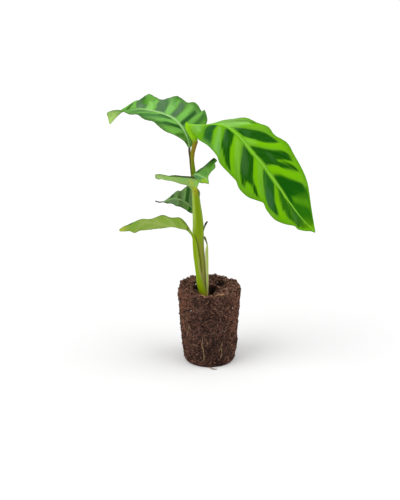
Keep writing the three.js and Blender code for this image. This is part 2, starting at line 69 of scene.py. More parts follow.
LEAVES["right_leaf"] = dict(
    top_side=1, rib=0.75, camber=0.05, pleats=8, pleat_height=0.5, rows=300, columns=46,
    skew=(-0.03, 0.22), look="bright", slot="striped_leaf", under_cover=0.35,
    midrib=[
        (-16.5, -4.5, 188.5), (-5.5, -7, 189), (6.5, -9.5, 190), (14, -12, 187.5), (22, -15, 181),
        (30, -18.5, 171.5), (38.5, -21.5, 162), (47.5, -25, 150), (56.5, -28, 137.5), (66, -31, 125.5),
        (76.4, -34, 115.5),
    ],
    near=[
        (-15.5, -5.5, 186.5), (-12, -8, 182.5), (-8.5, -10.5, 178.5), (-2, -13.5, 175),
        (4.5, -16.5, 168.5), (7, -18, 162.5), (14, -20.5, 155.5), (18.5, -22, 151), (20, -23, 147),
        (22.5, -24, 143.5), (28, -25, 139), (34, -26, 137), (38.5, -27, 135.5), (40.5, -28, 131),
        (44, -29, 126.5), (48, -30, 123), (54.5, -31, 120.5), (61, -32, 119.5), (64, -32.5, 117),
        (69, -33, 116), (73, -33.5, 116), (76, -34, 115),
    ],
    far=[
        (-15.5, -3.5, 189), (-9, -0.5, 186), (0, 2.5, 184.5), (8.5, 3.5, 188.5), (15.5, 3.5, 190.5),
        (22, 3, 191.5), (29, 1.5, 191), (36.5, -0.5, 188), (43, -2.5, 185.5), (48, -4.5, 180),
        (56.5, -8, 175), (62, -11.5, 166.5), (68, -16, 155.5), (71, -19.5, 148.5), (72.5, -23.5, 139),
        (74, -28, 129.5), (75.5, -31.5, 120.5), (76.4, -34, 116),
    ],
    bands=[
        (-1, 60, [(8, 70, 95), (50, 74.5, 95), (85, 80, 90)]),
        (-1, 90, [(5, 14, 18.5), (25, 12.2, 16.5), (50, 11.8, 16.2), (85, 12, 15.5)], (40, 96, 44)),
        (-1, 100, [(6, 26.2, 34), (25, 25, 32), (40, 24, 30), (50, 23.8, 29.5), (70, 25.5, 29.2),
            (90, 27.5, 29.8)]),
        (-1, 100, [(8, 43, 51.2), (25, 42.5, 51), (50, 40.8, 50.5), (70, 41.5, 51.5)]),
        (-1, 90, [(66, 41.5, 46), (86, 43, 45.2)]),
        (-1, 90, [(66, 48.5, 51.8), (80, 50, 53), (90, 51.5, 54.5)]),
        (-1, 100, [(10, 60, 68.5), (25, 59.5, 69), (50, 59.7, 69.5), (70, 61.8, 72),
            (80, 64, 72.7)], (32, 92, 24)),
        (-1, 90, [(5, 71.5, 75), (25, 74, 80), (50, 76.5, 80), (75, 78.5, 82)], (42, 106, 14)),
        (-1, 90, [(6, 80, 90), (25, 81, 91), (50, 82, 90), (72, 82, 88)], (54, 110, 24)),
        (1, 85, [(6, 78, 95), (50, 77, 95), (92, 78, 94)], (56, 120, 8)),
        (1, 85, [(38, 22.5, 26.5), (60, 29, 33), (80, 34.5, 37.5), (92, 38, 40)], (66, 120, 36)),
        (1, 100, [(12, 31.5, 40.3), (25, 34, 44.2), (40, 37.5, 48.1), (50, 40, 50.4), (60, 42.2, 52.5),
            (75, 47.2, 55.2), (86, 51.5, 56.2)]),
        (1, 100, [(8, 46.8, 60.5), (25, 50.3, 62.5), (42, 55, 65)]),
        (1, 100, [(38, 54, 61.2), (50, 56.7, 62.2), (75, 60.6, 64.8), (86, 63.2, 66)]),
        (1, 100, [(38, 61.5, 65), (50, 63.2, 66.5), (75, 66.5, 69), (86, 68.5, 70)]),
        (1, 100, [(8, 66.5, 82), (25, 68, 79.5), (50, 71.5, 79), (80, 76, 80)], (12, 82, 4)),
        (1, 95, [(8, 82.5, 91.5), (50, 85, 92.5), (78, 86.5, 92.5)], (36, 104, 6)),
    ],
    streaks=[
        (1, 50, [(30, 20, 33), (90, 25, 37)], (120, 164, 66)),
        (1, 80, [(38, 23.5, 27), (60, 29.5, 33), (80, 35, 37.8), (92, 38.5, 40)], (72, 122, 36)),
        (1, 80, [(5, 19, 29), (25, 25, 31.2), (50, 30, 34.8), (78, 35.5, 38)], (158, 222, 104)),
        (1, 85, [(20, 79, 82), (50, 81, 84.2), (85, 83, 87)], (84, 152, 14)),
        (1, 50, [(8, 41, 45.5), (30, 46, 49)], (132, 200, 66)),
        (-1, 60, [(10, 19.5, 22.5), (50, 18, 22.5), (90, 17, 21.5)], (130, 190, 98)),
        (-1, 60, [(10, 35, 40), (50, 33.5, 39.5), (85, 33, 40)], (130, 192, 62)),
        (-1, 50, [(10, 54.5, 58), (80, 55, 59)], (118, 184, 58)),
        (-1, 60, [(10, 60, 62), (70, 60, 63.5)], (72, 132, 44)),
        # painted highlight: the next streak, pale whitish green near the base of the near half
        (-1, 50, [(5, 6, 9.5), (50, 6, 9.5)], (150, 216, 120)),
    ],
    spots=[
        (0, 0, 13, 160, (128, 182, 82), 70), (0, 0, 5, 160, (132, 194, 20), 90),
        (25, 30, 13, 40, (130, 182, 88), 70), (25, 80, 12, 40, (124, 174, 78), 60),
        # painted sheen: the next four grey-green spots, at 65.5/-60, 84/-50, 58.5/33 and 44/-35, are the
        # reflection of the white surroundings on the dark bands
        (65.5, -60, 4.5, 34, (62, 108, 66), 70), (84, -50, 3.5, 40, (72, 122, 58), 50),
        (58.5, 33, 5, 9, (60, 110, 56), 35), (44, -35, 4.5, 40, (66, 110, 56), 60),
        (26.5, -25, 3, 30, (62, 106, 56), 60), (40, 30, 4, 20, (48, 100, 40), 60),
        (21.5, -70, 3, 30, (104, 160, 84), 60), (14, -90, 4, 25, (88, 146, 66), 70),
        (98, 0, 10, 160, (92, 148, 6), 70), (62, 92, 16, 14, (100, 166, 6), 70),
        (35, -75, 5, 30, (96, 160, 30), 50), (57, -60, 3, 40, (100, 164, 30), 50),
        (47.5, -80, 2, 16, (100, 170, 10), 80), (55, 100, 60, 13, (92, 150, 2), 70),
        (55, -100, 60, 13, (98, 152, 20), 70),
    ],
)

LEAVES["left_leaf"] = dict(
    top_side=-1, rib=1, camber=0.06, pleats=7, pleat_height=0.3, rows=260, columns=36, skew=(0.2, 0.1),
    look="dusky", slot="dusky_leaf", under_cover=0.3,
    midrib=[
        (-15.5, 0, 169.5), (-17.5, 2, 177.5), (-21, 4, 184), (-27, 7, 189.5), (-35, 10, 192.5),
        (-44, 12, 194.5), (-52.5, 13, 195.5), (-61, 13, 194.5), (-67.5, 12, 194), (-71.5, 11, 191.5),
        (-74, 9, 185.5),
    ],
    near=[
        (-16, -0.5, 169.5), (-19.5, -3, 175.5), (-26.5, -6, 181), (-33, -7.5, 184), (-38.5, -8, 189),
        (-42.5, -7.5, 191.5), (-49, -5, 193), (-54, -1, 195), (-60, 4, 194), (-65.5, 9, 195),
        (-70.5, 9.5, 195.5), (-76, 8, 194), (-75.5, 8.5, 190.5), (-74.5, 8.5, 185.5),
    ],
    far=[
        (-14.5, 1, 169.5), (-9, 4, 176), (-4, 7.5, 184), (-2, 9.5, 188.5), (-4, 12.5, 195),
        (-6, 13.5, 193.5), (-9, 15.5, 198), (-12, 17, 200), (-17, 19.5, 199), (-21.5, 21, 202),
        (-25, 22.5, 203.5), (-30.5, 24, 201.5), (-36, 26, 199.5), (-41, 26, 202), (-45, 26, 204),
        (-48, 25, 203), (-52.5, 23, 200.5), (-56, 21, 200), (-58.5, 18.5, 198), (-62, 16, 194.5),
        (-66, 13.5, 192.5), (-69.5, 11.5, 189.5), (-72, 10.5, 187), (-74, 9.5, 185),
    ],
    bands=[
        (1, 70, [(30, 13, 15), (60, 13.5, 15.5), (95, 14, 16.5)], (44, 108, 24)),
        (1, 100, [(6, 21, 24), (40, 21.5, 24.3), (78, 22.5, 24.8)], (32, 88, 24)),
        (1, 95, [(6, 29.5, 34.5), (50, 30.5, 35.2), (85, 34, 37.5)], (88, 120, 86)),
        (1, 60, [(50, 30, 32), (90, 33, 34.5)], (58, 112, 34)),
        (1, 100, [(6, 40, 47.5), (25, 40.5, 48), (50, 43, 50.5), (75, 46, 52),
            (100, 50, 54)], (88, 124, 84)),
        (1, 60, [(40, 42, 44), (80, 46.5, 48.5)], (66, 118, 44)),
        (1, 90, [(10, 56.5, 63), (25, 56, 65), (50, 58.5, 67.5), (75, 61.5, 69),
            (100, 66, 71)], (84, 120, 76)),
        (1, 90, [(20, 56, 59), (50, 58.5, 63), (75, 61.5, 67)], (54, 104, 34)),
        (1, 90, [(10, 70, 73), (60, 71, 73)], (56, 100, 30)),
        (-1, 60, [(30, 3.5, 7), (90, 3.5, 7)], (86, 122, 22)),
        (-1, 60, [(25, 11, 13.5), (90, 11, 15.5)], (56, 114, 18)),
        (-1, 100, [(12, 18.5, 23), (25, 19.7, 25), (50, 24.5, 29), (75, 29, 33),
            (95, 32, 35)], (18, 80, 4)),
        (-1, 100, [(8, 31, 40), (25, 31.5, 41), (40, 35, 43), (50, 38, 46), (75, 45, 51),
            (100, 51, 55)], (50, 104, 40)),
        (-1, 70, [(12, 30.5, 33), (30, 32, 34.5), (50, 37.5, 40)], (46, 98, 30)),
        (-1, 70, [(15, 50, 57), (50, 52, 60), (80, 56, 63)], (84, 130, 66)),
        (-1, 60, [(15, 66, 70), (60, 68, 72)], (92, 132, 84)),
    ],
    streaks=[
        # painted highlights: the next three streaks light the ridges of the far half, where its waves catch
        # the light
        (1, 80, [(10, 25, 29), (60, 26.2, 28.8)], (122, 194, 84)),
        (1, 85, [(8, 36.2, 40), (40, 37.2, 41), (70, 39.5, 42)], (134, 204, 104)),
        (1, 90, [(8, 50, 54.5), (30, 51.5, 55.5), (55, 54.5, 57)], (154, 218, 112)),
        (1, 60, [(30, 55, 60), (60, 57, 61), (85, 58.5, 62)], (96, 166, 34)),
        (1, 65, [(50, 36, 40), (95, 40, 44)], (62, 122, 42)),
        (1, 65, [(50, 25, 26.2), (95, 25, 27.5)], (56, 110, 38)),
        (1, 60, [(50, 52.5, 54), (90, 55, 57)], (70, 126, 44)),
        (-1, 80, [(20, 24.5, 27.5), (50, 30, 32.8), (78, 34.5, 37.8)], (118, 188, 84)),
        (-1, 75, [(30, 12, 14), (85, 13.5, 17)], (64, 110, 20)),
        (-1, 60, [(30, 5.5, 7), (90, 4.5, 6.5)], (68, 116, 20)),
        (-1, 60, [(20, 15.5, 18), (60, 18.5, 22), (85, 22, 25)], (110, 176, 72)),
        (-1, 50, [(50, 37, 40), (80, 40, 43)], (106, 168, 90)),
        (-1, 50, [(30, 21.5, 22.5), (85, 28, 30)], (30, 86, 10)),
    ],
    spots=[
        # painted light and shade of the waves: the spots at 53/40, 38.5/35 and 27/45 are painted highlights
        # on ridges, and those at 35/100 and 20/98 painted shade along the far margin
        (5, -50, 12, 60, (84, 128, 30), 60), (35, 100, 36, 20, (58, 112, 38), 75),
        (50, -55, 28, 60, (88, 146, 70), 50), (42, -100, 32, 24, (58, 106, 38), 85),
        (53, 40, 3, 60, (130, 194, 92), 70), (38, 2, 32, 7, (172, 224, 140), 85),
        (60, 18, 5, 16, (112, 140, 112), 60), (49, -25, 5, 25, (112, 154, 92), 60),
        (33, -65, 4, 25, (112, 180, 80), 50), (38.5, 35, 2.5, 50, (128, 190, 100), 60),
        (27, 45, 2, 50, (122, 188, 88), 60), (97, 0, 20, 160, (186, 222, 118), 90),
        (90, -50, 5, 50, (150, 190, 92), 60), (20, 98, 20, 12, (70, 130, 40), 60),
    ],
)

LEAVES["middle_left_leaf"] = dict(
    top_side=-1, rib=0.6, camber=0.05, pleats=4, pleat_height=0.2, rows=130, columns=22, skew=(0.1, 0.1),
    look="folded", slot="pale_leaf", under_cover=0.15,
    midrib=[
        (-11, -8, 139.5), (-13.5, -9, 142), (-17, -9.5, 144), (-22, -10.5, 145.5), (-27.5, -11, 147.5),
        (-34, -11, 148.5), (-40.5, -11, 151),
    ],
    near=[
        (-10, -8, 140), (-8.5, -9, 144.5), (-8, -9.5, 148), (-14, -10, 150.5), (-21.5, -12, 151.5),
        (-30, -13, 152), (-37, -12.5, 153), (-40.5, -12, 152.5),
    ],
    far=[
        (-12, -8, 138.5), (-15.5, -7, 141), (-18.5, -4, 145.5), (-22, -1.5, 148.5), (-27.5, -2, 149),
        (-33.5, -6, 148.5), (-37.5, -9.5, 148), (-40.5, -11, 149.5),
    ],
    bands=even_bands((20, 34, 48, 62, 76), 3, 5),
    spots=[
        (0, 0, 15, 160, (168, 190, 40), 90), (3, -10, 12, 70, (176, 182, 16), 85),
        (13, 8, 7, 20, (108, 136, 30), 60), (17, -12, 12, 12, (182, 192, 40), 80),
        (28, -34, 10, 14, (180, 190, 56), 80), (37, -50, 6, 14, (176, 184, 60), 60),
        (22, -75, 14, 30, (142, 200, 84), 70), (50, -45, 12, 30, (126, 186, 100), 60),
        (45, 60, 18, 30, (112, 182, 92), 60), (60, 5, 16, 16, (156, 176, 124), 60),
        (70, -50, 12, 40, (160, 200, 116), 50), (90, 0, 12, 80, (176, 206, 130), 60),
        (88, -75, 9, 30, (146, 158, 104), 60), (50, -100, 36, 34, (46, 68, 36), 95),
        (50, 100, 12, 20, (84, 110, 70), 70), (100, 0, 5, 160, (150, 168, 108), 70),
    ],
)

LEAVES["middle_right_leaf"] = dict(
    top_side=1, rib=0.45, camber=0.05, pleats=4, pleat_height=0.2, rows=140, columns=30, skew=(0, 0.1),
    look="dusky", slot="dusky_leaf", under_cover=0.9,
    midrib=[
        (-12, -7, 151), (-9.5, -11, 152.5), (-7, -17, 153), (-4, -22, 153), (-2.5, -27, 153),
        (-1, -31, 151.5),
    ],
    near=[
        (-12.5, -8, 150.5), (-11, -12.5, 150), (-9, -17.5, 149.5), (-7, -22, 149), (-4, -27, 150.5),
        (-1.5, -31.5, 151),
    ],
    far=[
        (-11.5, -6.5, 152.5), (-9.5, -6, 153.5), (-7, -6, 155.5), (-2.5, -6.5, 159), (1.5, -8, 163),
        (3, -9.5, 164.5), (5, -11.5, 163), (3.5, -14, 162), (3.5, -17.5, 159.5), (-0.5, -23, 157),
        (-1.5, -27, 155), (-1, -30.5, 151.5),
    ],
    bands=[
        (1, 90, [(30, 10, 24), (90, 8, 20)]),
        (1, 100, [(45, 29, 48), (100, 27, 50)]),
    ],
    spots=[
        (50, 50, 60, 60, (84, 134, 54), 75), (20, 45, 18, 40, (54, 92, 34), 90),
        (36, 85, 26, 54, (34, 62, 12), 95), (42, 44, 14, 7, (94, 136, 66), 70),
        (50, 62, 13, 24, (60, 112, 20), 80), (55, 22, 15, 10, (74, 126, 44), 70),
        (62, 66, 12, 30, (82, 144, 34), 80), (60, 36, 12, 10, (116, 162, 84), 60),
        (50, 15, 26, 13, (82, 140, 62), 70), (0, 10, 10, 50, (140, 180, 112), 80),
        (25, -62, 30, 36, (76, 124, 78), 95), (38, -30, 26, 24, (80, 134, 84), 90),
        (14, -5, 26, 12, (134, 174, 124), 70), (2, 80, 20, 30, (48, 92, 24), 80),
        (42, -95, 16, 26, (144, 198, 72), 90), (74, -40, 28, 70, (152, 186, 26), 85),
        (60, -100, 60, 6, (164, 124, 44), 85), (98, -90, 10, 60, (206, 214, 44), 90),
        (85, 50, 14, 50, (150, 190, 110), 60),
    ],
)

LEAVES["back_leaf"] = dict(
    top_side=-1, rib=0.7, camber=0.05, pleats=4, pleat_height=0.2, rows=150, columns=26, skew=(0.1, 0.1),
    look="dark", slot="dusky_leaf", under_cover=0.4, withered_from=0.8,
    midrib=[
        (-9, 5.5, 117.5), (-14, 8, 121), (-18, 10, 123.5), (-22.5, 12, 125.5), (-27.5, 13, 126),
        (-32, 13.5, 124.5), (-35, 13, 123.5), (-38.5, 12.5, 123.5), (-41.5, 12, 124.5),
    ],
    near=[
        (-10, 4.5, 116.5), (-15, 4.5, 117.5), (-18.5, 5, 120), (-22, 6, 121.5), (-25.5, 7.5, 122),
        (-28.5, 9.5, 123), (-32.5, 12, 122.5), (-35, 12.5, 123.2), (-38.5, 12.5, 123), (-41.5, 12, 124.1),
    ],
    far=[
        (-8.5, 6.5, 118.5), (-10.5, 12, 128.5), (-15, 16.5, 136), (-18.5, 18.5, 133.5), (-22, 19, 130.5),
        (-25, 19, 130.5), (-29.5, 17, 127), (-33, 14.5, 125), (-35, 13.5, 124), (-38.5, 12.5, 124),
        (-41.5, 12, 125),
    ],
    bands=[
        (1, 100, [(10, 20, 27), (85, 19, 26)], (30, 88, 24)),
        (1, 80, [(10, 36, 43), (85, 37, 44)]),
        (1, 90, [(15, 52, 57), (80, 53, 58)]),
        (-1, 100, [(10, 11, 17), (95, 11, 17)], (34, 100, 10)),
        (-1, 50, [(10, 30, 40), (95, 30, 40)]),
        (-1, 50, [(10, 62, 75), (90, 62, 75)]),
    ],
    spots=[
        (0, 0, 10, 160, (46, 96, 30), 80), (27, -50, 14, 50, (84, 120, 48), 60),
        (55, -45, 16, 40, (98, 124, 88), 60), (40, 50, 10, 40, (88, 112, 66), 60),
        (55, 42, 5, 30, (62, 90, 44), 70), (50, -100, 50, 25, (54, 84, 46), 60),
        (47, -40, 5, 60, (96, 136, 96), 50), (80, 0, 8, 160, (104, 110, 92), 70),
    ],
)

LEAVES["lower_leaf"] = dict(
    top_side=-1, rib=0.5, camber=0.06, pleats=5, pleat_height=0.25, rows=200, columns=26, skew=(0.1, 0.1),
    look="pale", slot="pale_leaf", under_cover=0.12,
    midrib=[
        (-14, -8, 105.5), (-17, -9, 109), (-23, -10, 111), (-28.5, -11, 112), (-36, -11.5, 113.5),
        (-43, -11.5, 115.5), (-50.5, -11, 116.5), (-58, -10, 114.5), (-63.5, -9.5, 111.5),
        (-68, -8.5, 108),
    ],
    near=[
        (-13.5, -8.5, 106.5), (-16, -11, 111.5), (-19, -13.5, 117), (-22.5, -14.5, 120),
        (-28.5, -15.5, 120.5), (-34.5, -16, 122.5), (-39.5, -15.5, 121), (-45.5, -15, 119),
        (-51.5, -14, 118.5), (-59, -12, 114), (-64, -10.5, 112), (-68, -9, 109),
    ],
    far=[
        (-14.5, -7.5, 104.5), (-17.5, -6, 107), (-22, -5, 108), (-26.5, -4.5, 109), (-31, -4.5, 109),
        (-37, -5, 108.5), (-44, -5.5, 107.5), (-49, -6, 107.5), (-52.5, -6.5, 107), (-56.5, -7, 105.5),
        (-60, -7.5, 107), (-63.5, -8, 107), (-67.5, -8, 107),
    ],
    bands=even_bands((12, 23, 34, 45, 56, 67, 78), 2.4, 6),
    streaks=[
        (-1, 35, [(0, 18, 24), (90, 30, 38)], (112, 158, 46)),
        (-1, 40, [(0, 27, 31), (90, 40, 44)], (162, 186, 106)),
        (-1, 35, [(0, 35, 38), (90, 48, 52)], (122, 162, 60)),
        (-1, 40, [(0, 45, 50), (90, 58, 62)], (168, 192, 108)),
        (1, 40, [(0, 16, 20), (90, 29, 33)], (164, 182, 112)),
        (1, 35, [(0, 26, 30), (90, 40, 44)], (124, 154, 66)),
        (1, 40, [(0, 38, 42), (90, 53, 57)], (166, 190, 106)),
        (1, 35, [(0, 47, 51), (90, 62, 66)], (126, 158, 62)),
        (1, 40, [(0, 58, 62), (90, 72, 76)], (170, 196, 110)),
        (1, 40, [(0, 68, 74), (90, 80, 86)], (124, 178, 66)),
    ],
    spots=[
        (0, 0, 9, 160, (120, 146, 30), 80), (10, 0, 3.5, 160, (84, 104, 20), 80),
        (15, -85, 12, 30, (84, 112, 24), 75), (45, -100, 35, 16, (104, 132, 40), 70),
        (35, 0, 30, 7, (150, 172, 60), 70), (100, 0, 17, 160, (178, 194, 66), 85),
        (55, 0, 25, 35, (164, 186, 96), 50),
    ],
)

BLADE_THICKNESS = 0.36
MARGIN_THICKNESS = 0.22
MARGIN_REACH = 1.5  # from the margin to where the blade is at its full thickness
RIB_HEIGHT = 0.6  # of the midrib, out of the underside
RIB_SPREAD = 0.9  # how wide it is
GROOVE_DEPTH = 0.3  # of the channel over it in the upper face
VEIN_HEIGHT = 0.1  # of the small side ribs
VEINS_PER_PLEAT = 4.3
CROWDING = 1.25  # the power that draws the mesh's columns towards the midrib
BAND_FEATHER = 0.010  # soft edge of a band on the side of the tip, in u
BASE_FEATHER = 0.018  # the same on the side of the stalk
BAND_HALO = 0.03  # its faint outer edge
BAND_CORE = 0.65  # the core's share of a band's dark; the halo has the rest
GLOW_END = (0.02, 0.07)  # where the light glow behind a band fades out
OWN_COLOUR = 0.9  # strength of a band's own colour
STREAK_FEATHER = 0.016  # soft sides of a streak
SPOT_CORE = 0.35  # the part of a spot's reach that has its full strength

# Leaf colours: the ground of the upper face in three tones, its bands in two, the underside's,
# the midrib's and the margin's
LOOKS = {
    "bright": dict(
        light=(100, 170, 0), pale=(108, 168, 34), lime=(112, 180, 2), dark=(30, 90, 10), deep=(12, 76, 0),
        under=(146, 186, 100), under_band=(108, 156, 78), rib=(142, 206, 72), margin=(72, 138, 0),
    ),
    "dusky": dict(
        light=(104, 164, 58), pale=(104, 154, 82), lime=(116, 182, 74), dark=(82, 118, 80),
        deep=(62, 104, 56), under=(152, 190, 106), under_band=(112, 158, 82), rib=(172, 214, 144),
        margin=(88, 108, 46),
    ),
    "dark": dict(
        light=(106, 140, 80), pale=(100, 130, 80), lime=(112, 154, 82), dark=(70, 96, 50), deep=(50, 82, 34),
        under=(124, 162, 88), under_band=(88, 128, 60), rib=(150, 182, 120), margin=(44, 84, 30),
    ),
    "pale": dict(
        light=(110, 168, 62), pale=(116, 164, 84), lime=(112, 174, 56), dark=(76, 118, 62),
        deep=(56, 100, 40), under=(142, 174, 66), under_band=(122, 156, 50), rib=(166, 188, 106),
        margin=(92, 118, 32),
    ),
}
LOOKS["folded"] = dict(
    LOOKS["pale"], under=(152, 192, 96), under_band=(122, 172, 84), rib=(142, 160, 92), margin=(96, 128, 64),
)
WITHERED = ((58, 50, 44), (104, 96, 84))

# Stalks. The stations are in millimetres: x, y, z, half width, half depth. A stroke of paint: the angle
# of its middle (0 right, 90 back, 180 left, -90 front), its half width in degrees, its lowest and highest
# z, the length of its soft ends, its colour and strength.
FOOT = 45  # where the stalks begin, inside the plug
ALL_ROUND = 400  # a half width that covers every side
STALKS = {}

STALKS["main_stem"] = dict(
    body=(130, 158, 0), shade=(118, 146, 0), slot="stalk",
    stations=[
        (-4.2, -5, FOOT, 1.9, 2.4), (-4.4, -5, 52, 2, 2.6), (-4.6, -5, 62, 2.4, 2.9),
        (-5.4, -4.8, 75, 2.4, 3), (-6.3, -4.4, 86, 2.5, 3.1), (-7.5, -4.2, 94, 3.1, 3.3),
        (-8.9, -3.8, 102, 4.3, 3.6), (-8.9, -3.5, 110, 4.1, 3.7), (-9.4, -3.3, 118.5, 3.7, 3.7),
        (-10, -3.2, 125.5, 3.2, 3.7), (-10.5, -3.2, 131.5, 2.9, 3.8), (-11, -3.2, 136.5, 2.6, 3.85),
        (-11.1, -3.2, 138.2, 2.5, 3.8), (-11.1, -3.2, 139, 2, 3.2),
    ],
    strokes=[
        # painted highlight: the first two strokes light the left and front-left of the stem
        (180, 75, 98, 150, 8, (160, 192, 72), 0.85), (-140, 38, 112, 150, 8, (172, 200, 88), 0.7),
        (-78, 30, 100, 128, 8, (112, 142, 0), 0.6), (0, 60, 100, 150, 8, (136, 162, 46), 0.8),
        (-60, 80, 60, 98, 8, (134, 134, 56), 0.9), (-25, 50, 64, 80, 5, (148, 136, 88), 0.8),
        (-100, 26, 66, 76, 4, (160, 154, 96), 0.7), (-90, 40, 135, 150, 2, (176, 176, 34), 0.7),
        (-75, 14, 134, 137.5, 1.2, (150, 120, 40), 0.5),
        (0, ALL_ROUND, 137, 150, 1.5, (158, 158, 44), 0.6),
        (0, ALL_ROUND, 30, 58, 3, (150, 126, 52), 0.9),
    ],
)

STALKS["lower_sheath"] = dict(
    body=(132, 162, 2), shade=(122, 154, 0), slot="stalk",
    stations=[
        (-4.2, -8.5, FOOT, 1.6, 1.2), (-4.6, -8.6, 55, 2.4, 1.5), (-5.9, -8.5, 60, 2.9, 1.7),
        (-7.3, -8.4, 66.5, 2.85, 1.8), (-8.1, -8.4, 71.5, 2.5, 1.8), (-8.9, -8.4, 76, 2.2, 1.8),
        (-9.7, -8.4, 82.5, 2.2, 1.8), (-10.4, -8.3, 87.5, 2.1, 1.8), (-11.4, -8.2, 96.5, 1.7, 1.6),
        (-12.2, -8.1, 101.5, 1.1, 1.1), (-13.5, -8, 104.4, 0.8, 0.8), (-14.3, -8, 105.8, 0.7, 0.7),
    ],
    strokes=[
        # painted highlight: the second stroke lights the left side of the sheath
        (-35, 45, 80, 100, 8, (148, 168, 56), 0.8), (180, 50, 62, 110, 6, (160, 184, 66), 0.7),
        (-100, 50, 56, 66, 3, (150, 176, 4), 0.7), (-20, 48, 62, 84, 6, (138, 132, 72), 0.9),
        (-66, 16, 72, 84, 4, (172, 170, 108), 0.7), (0, ALL_ROUND, 30, 58, 2.5, (148, 128, 46), 0.9),
    ],
)

STALKS["dry_sheath"] = dict(
    body=(166, 182, 96), shade=(150, 172, 68), slot="dry_stalk",
    stations=[
        (-2, -8.2, FOOT, 0.6, 0.6), (-2.1, -8, 53, 0.65, 0.65), (-1.9, -7.8, 64, 0.85, 0.85),
        (-2.2, -7, 80, 1.15, 1.1), (-2.4, -6.2, 90, 1.2, 1), (-2.1, -5.8, 95.5, 0.6, 0.6),
        (-2.9, -5.5, 98.3, 0.6, 0.55), (-3.7, -5.4, 100.6, 0.85, 0.65), (-4.1, -5.4, 102.2, 0.4, 0.4),
    ],
    strokes=[
        # painted highlight: the first stroke lights the left side
        (-150, 60, 60, 95, 6, (206, 218, 146), 0.8), (0, 60, 56, 92, 6, (204, 210, 150), 0.7),
        (0, ALL_ROUND, 30, 60, 4, (196, 180, 112), 0.8),
        (0, ALL_ROUND, 96.5, 110, 1.5, (70, 78, 44), 0.9),
    ],
)

STALKS["right_petiole"] = dict(
    body=(116, 144, 8), shade=(108, 136, 4), slot="brown_stalk",
    stations=[
        (-11.1, -3.7, 137.5, 1.45, 1.4), (-11.8, -3.4, 149, 1.4, 1.35), (-12.4, -3.2, 155, 1.35, 1.3),
        (-13, -3, 161, 1.25, 1.25), (-12.8, -2.9, 167, 1.6, 1.5), (-11.7, -2.9, 171.7, 1.7, 1.6),
        (-10.7, -3.1, 175.3, 1.9, 1.7),
    ],
    strokes=[
        (0, ALL_ROUND, 158, 190, 6, (138, 132, 16), 0.9), (-80, 50, 166, 190, 4, (146, 112, 34), 0.7),
        # painted highlight along the right side
        (0, 45, 160, 190, 6, (150, 146, 46), 0.6),
    ],
)

STALKS["left_petiole"] = dict(
    body=(124, 138, 46), shade=(112, 122, 40), slot="purple_stalk",
    stations=[
        (-12.2, -1, 137.5, 0.8, 0.8), (-13.7, 0, 148.8, 0.75, 0.75), (-14.4, 0.2, 155.6, 0.7, 0.7),
        (-14.9, 0.2, 161.8, 0.7, 0.7), (-15.3, 0.2, 166.5, 0.85, 0.85), (-15.4, 0.1, 169.6, 0.8, 0.8),
    ],
    strokes=[
        (0, ALL_ROUND, 153, 163, 5, (108, 102, 42), 0.9), (0, ALL_ROUND, 162, 175, 4, (82, 68, 40), 0.95),
    ],
)

STALKS["middle_petiole"] = dict(
    body=(150, 168, 60), shade=(136, 158, 44), slot="stalk",
    stations=[
        (-10.3, -6, 137.5, 0.7, 0.7), (-11.4, -6.3, 144.5, 0.7, 0.7), (-12.6, -6.5, 148, 0.65, 0.65),
        (-12.7, -6.9, 150.6, 0.6, 0.6),
    ],
    strokes=[
        (0, ALL_ROUND, 130, 144, 4, (196, 172, 40), 0.8),
    ],
)

STALKS["back_petiole"] = dict(
    body=(112, 142, 40), shade=(96, 128, 30), slot="stalk",
    stations=[
        (-7, -2.4, 86, 1, 1), (-7.2, -1, 92, 1, 1), (-7.4, 0.6, 98, 0.95, 0.9),
        (-7.6, 2.5, 104.5, 0.85, 0.85), (-8, 4.2, 111, 0.75, 0.75), (-9, 5.4, 117.2, 0.7, 0.7),
    ],
)

STALKS["right_joint"] = dict(
    body=(142, 208, 4), shade=(136, 198, 14), slot="striped_leaf",
    stations=[
        (-10.7, -3.1, 174.8, 1.85, 1.65), (-13.4, -3.8, 181.5, 2.6, 1.5), (-15.8, -4.3, 185.5, 2.4, 1.3),
        (-17, -4.4, 188.2, 1.4, 1), (-17.5, -4.4, 190, 0.5, 0.5),
    ],
    strokes=[
        (180, 60, 180, 192, 4, (150, 204, 44), 0.6), (0, ALL_ROUND, 170, 177, 2.5, (132, 128, 36), 0.85),
    ],
)

STALKS["node_flap"] = dict(
    body=(128, 148, 84), shade=(104, 126, 66), slot="stalk",
    stations=[
        (-8.9, -4.6, 130.5, 0.4, 0.4), (-8.4, -5, 133, 0.65, 0.5), (-8.1, -5.2, 136, 0.75, 0.45),
        (-8.3, -5.2, 138.4, 0.35, 0.3),
    ],
)

STALKS["spur"] = dict(
    body=(112, 132, 76), shade=(84, 98, 60), slot="stalk",
    stations=[
        (-5.6, -3.9, 105, 0.8, 0.7), (-4.1, -4.2, 109.4, 0.6, 0.6), (-3.2, -4.4, 111.8, 0.8, 0.7),
        (-1.9, -4.6, 113.8, 0.5, 0.45),
    ],
    strokes=[
        (0, ALL_ROUND, 110, 120, 1.5, (62, 66, 52), 0.9),
    ],
)

WITHOUT_NODE = ("right_joint", "node_flap", "spur")
STALK_SIDES = 40
STALK_STEP = 0.8  # between its rings
RIDGES = ((0.015, 9, 0.5), (0.009, 14, 2.0))  # height, number and turn of the ridges round a stalk

